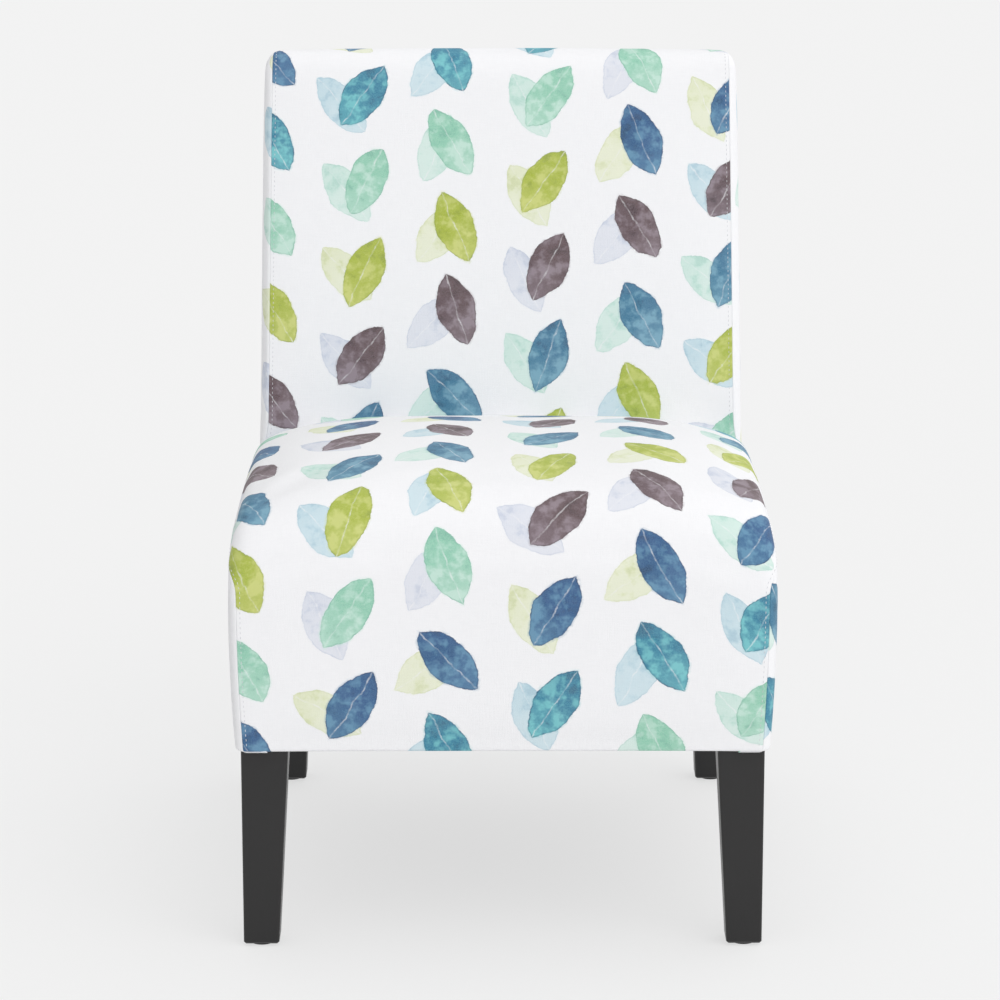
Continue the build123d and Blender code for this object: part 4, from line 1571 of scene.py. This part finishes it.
@dataclass
class Underside:
    """The dust cloth stapled under the seat, cut out round the legs."""

    finishes: Finishes
    leg_inner: float = 219.5
    front_leg_end: float = 61.5
    rear_leg_start: float = 535.0
    origin_y: float = -362.2
    sag: float = 3.0
    step: float = 12.0

    def lines(self, low: float, high: float, marks: tuple[float, ...]) -> Array:
        """Even grid lines from low to high that also pass through each mark."""
        stops = sorted({low, high, *marks})
        parts = [np.linspace(a, b, max(int(round((b - a) / self.step)), 1) + 1)[:-1] for a, b in zip(stops, stops[1:])]
        return np.concatenate([*parts, [high]])

    def build(self) -> bpy.types.Object:
        """Builds the cloth, sagging a little between its edges.

        Returns:
            The cloth.
        """
        low, high = (np.array(corner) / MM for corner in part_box("dust_cover"))
        front, rear = self.front_leg_end + self.origin_y, self.rear_leg_start + self.origin_y
        xs = self.lines(low[0], high[0], (-self.leg_inner, self.leg_inner))
        ys = self.lines(low[1], high[1], (front, rear))
        grid_x, grid_y = np.meshgrid(xs, ys)
        edge = np.minimum.reduce([grid_x - low[0], high[0] - grid_x, grid_y - low[1], high[1] - grid_y])
        ripple = np.array([
            noise.noise(Vector((x * 0.012, y * 0.012, 0.0))) for x, y in zip(grid_x.ravel(), grid_y.ravel())
        ]).reshape(grid_x.shape)
        depth = smooth(edge, 4.0, 130.0) * (self.sag + 1.5 * ripple) + 0.4 * smooth(edge, 0.0, 20.0) * ripple
        points = np.stack([grid_x, grid_y, high[2] - 0.2 - depth], -1)
        mesher = Mesher("dust_cloth_sheet")
        mesher.grid(points * MM, points[..., :2] * MM, flip=True)
        centre_x = np.abs((xs[:-1] + xs[1:]) / 2)[None]
        centre_y = ((ys[:-1] + ys[1:]) / 2)[:, None]
        leg = (centre_x > self.leg_inner) & ((centre_y < front) | (centre_y > rear))
        mesher.quads[0] = mesher.quads[0][~leg.reshape(-1)]
        piece = mesher.build()
        work = bmesh.new()
        work.from_mesh(piece.data)
        bmesh.ops.delete(work, geom=[vert for vert in work.verts if not vert.link_faces], context="VERTS")
        work.to_mesh(piece.data)
        work.free()
        thick = piece.modifiers.new("Thickness", "SOLIDIFY")
        thick.thickness, thick.offset = 0.6 * MM, 1.0
        piece.data.materials.append(self.finishes.dust)
        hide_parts("dust_cover")
        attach(piece, "root")
        return piece


@dataclass
class Frame:
    """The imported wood, steel and webbing, which keep their shapes and get their finishes."""

    finishes: Finishes

    def build(self) -> int:
        """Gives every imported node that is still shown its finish.

        Returns:
            How many nodes were dressed.
        """
        by_slot = {
            "leg_wood": self.finishes.lacquer,
            "frame_wood": self.finishes.timber,
            "foam": self.finishes.foam,
            "wadding": self.finishes.wadding,
            "deck_cloth": self.finishes.felt,
            "webbing": self.finishes.webbing,
            "dust_cloth": self.finishes.dust,
            "spring_steel": self.finishes.spring,
            "zinc_steel": self.finishes.zinc,
            "glide_plastic": self.finishes.plastic,
            "printed_fabric": self.finishes.cloth,
        }
        slots = {part["node"]: part["material_slot"] for part in frame["record"]["subparts"]}
        for name, node in frame["nodes"].items():
            for slot in node.material_slots:
                slot.material = by_slot[slots[name]]
            if not node.material_slots:
                node.data.materials.append(by_slot[slots[name]])
        return len(frame["nodes"])


@dataclass
class Studio:
    """A pale seamless floor, soft light and the camera."""

    floor_colour: tuple = srgb(243, 243, 243)
    dome: float = 0.862
    left_dim: float = 0.66
    dome_tilt: float = 0.3
    bright_side: tuple = (0.0, -0.45, 0.89)
    sun: float = 0.46
    seen_share: float = 0.72
    sun_spread: float = math.radians(50.0)
    sun_turn: tuple = (math.radians(46.0), 0.0, math.radians(34.0))
    camera_distance: float = 3.6
    camera_height: float = 1.3
    camera_pitch: float = math.radians(12.83)
    camera_yaw: float = math.radians(0.2)
    camera_aside: float = -0.003
    focal_px: float = 3655.0
    sensor_mm: float = 36.0
    seat_front: float = -0.3622

    def floor(self) -> bpy.types.Object:
        """Builds the floor, which keeps the chair's soft shadow."""
        mesh = bpy.data.meshes.new("studio_floor")
        reach = 40.0
        mesh.from_pydata([(-reach, -reach, 0), (reach, -reach, 0), (reach, reach, 0), (-reach, reach, 0)], [], [(0, 1, 2, 3)])
        made = bpy.data.objects.new("studio_floor", mesh)
        bpy.context.scene.collection.objects.link(made)
        graph = Graph("studio_floor")
        speckle = graph.noise(graph.object_place(), 3.0, 2.0)
        colour = graph.mix(graph.remap(speckle, 0.3, 0.7, 0.0, 0.02), self.floor_colour, srgb(236, 236, 236))
        lit = graph.node("BsdfDiffuse")
        graph.feed(lit.inputs["Color"], colour)
        plain = graph.node("Emission")
        graph.feed(plain.inputs["Color"], self.floor_colour)
        mix, output = graph.node("MixShader"), graph.node("OutputMaterial")
        graph.feed(mix.inputs[0], graph.maths("MULTIPLY", self.seen(graph), self.seen_share))
        for socket, value in ((mix.inputs[1], lit), (mix.inputs[2], plain), (output.inputs[0], mix)):
            graph.feed(socket, value.outputs[0])
        mesh.materials.append(graph.material)
        return made

    def seen(self, graph: Graph) -> Socket:
        """1 where the camera sees the surface, straight, mirrored or through glass, and 0 elsewhere."""
        path = graph.node("LightPath")
        mirrored = graph.maths("MAXIMUM", path.outputs["Is Glossy Ray"], path.outputs["Is Transmission Ray"])
        return graph.maths("MAXIMUM", path.outputs["Is Camera Ray"], mirrored)

    def light(self) -> None:
        """Sets the even sky and one broad soft light from the upper right."""
        world = bpy.data.worlds.new("studio")
        bpy.context.scene.world = world
        graph = Graph("studio", world)
        mix, output = graph.node("MixShader"), graph.node("OutputWorld")
        graph.feed(mix.inputs[0], self.seen(graph))
        place = graph.node("TexCoord").outputs["Generated"]
        facing, parts = graph.node("VectorMath", operation="DOT_PRODUCT"), graph.node("SeparateXYZ")
        for socket, value in ((facing.inputs[0], place), (facing.inputs[1], self.bright_side), (parts.inputs[0], place)):
            graph.feed(socket, value)
        base = graph.remap(parts.outputs["X"], -1.0, 0.1, self.dome - self.left_dim, self.dome)
        share = graph.maths("MULTIPLY_ADD", facing.outputs["Value"], self.dome_tilt, base)
        for slot, colour, strength in ((1, (1.0, 1.0, 1.0, 1.0), share), (2, self.floor_colour, 1.0)):
            sky = graph.node("Background")
            graph.feed(sky.inputs["Color"], colour)
            graph.feed(sky.inputs["Strength"], strength)
            graph.feed(mix.inputs[slot], sky.outputs[0])
        graph.feed(output.inputs[0], mix.outputs[0])
        lamp = bpy.data.lights.new("key_light", "SUN")
        lamp.energy, lamp.angle = self.sun, self.sun_spread
        made = bpy.data.objects.new("key_light", lamp)
        made.rotation_euler = self.sun_turn
        bpy.context.scene.collection.objects.link(made)

    def camera(self) -> bpy.types.Object:
        """Places the camera where the photograph was taken from.

        Returns:
            The camera.
        """
        data = bpy.data.cameras.new("camera")
        data.sensor_width = self.sensor_mm
        data.lens = self.focal_px / PHOTO_WIDTH_PX * self.sensor_mm
        data.clip_end = 200.0
        made = bpy.data.objects.new("camera", data)
        sideways, ahead = math.sin(self.camera_yaw), math.cos(self.camera_yaw)
        made.location = (
            self.camera_aside - self.camera_distance * sideways,
            self.seat_front - self.camera_distance * ahead,
            self.camera_height,
        )
        made.rotation_euler = (math.pi / 2 - self.camera_pitch, 0.0, -self.camera_yaw)
        bpy.context.scene.collection.objects.link(made)
        bpy.context.scene.camera = made
        return made


def main() -> None:
    """Builds the chair piece by piece and reports each one."""
    logging.basicConfig(level=logging.INFO, format="%(name)s: %(message)s")
    bpy.context.scene.view_settings.view_transform = "Standard"
    studio = Studio()
    studio.camera()
    studio.light()
    studio.floor()
    finishes = Finishes()
    seat_body, back_body = SeatBody(), BackBody()
    seat, back = Seat(seat_body, finishes), Back(back_body, finishes)
    top = seat.front_and_top()
    log.info("seat front and top: %d points", len(top.data.vertices))
    sewn = stitches("seat_seam_stitches", seat.seam_line, top, finishes.thread)
    log.info("seat stitches: %d points", len(sewn.data.vertices))
    face = back.face()
    log.info("back face: %d points", len(face.data.vertices))
    sewn = stitches("back_seam_stitches", back.seam_line, face, finishes.thread)
    log.info("back stitches: %d points", len(sewn.data.vertices))
    log.info("rear panel: %d points", len(back.rear().data.vertices))
    for side in Side:
        log.info("%s seat side: %d points", side.word, len(seat.side(side, back_body).data.vertices))
        log.info("%s boxing strip: %d points", side.word, len(back.side(side).data.vertices))
    for pad in Filling(finishes, seat_body).build():
        log.info("%s: %d points", pad.name, len(pad.data.vertices))
    log.info("dust cloth: %d points", len(Underside(finishes).build().data.vertices))
    log.info("packed nodes dressed: %d", Frame(finishes).build())


if __name__ == "__main__":
    main()
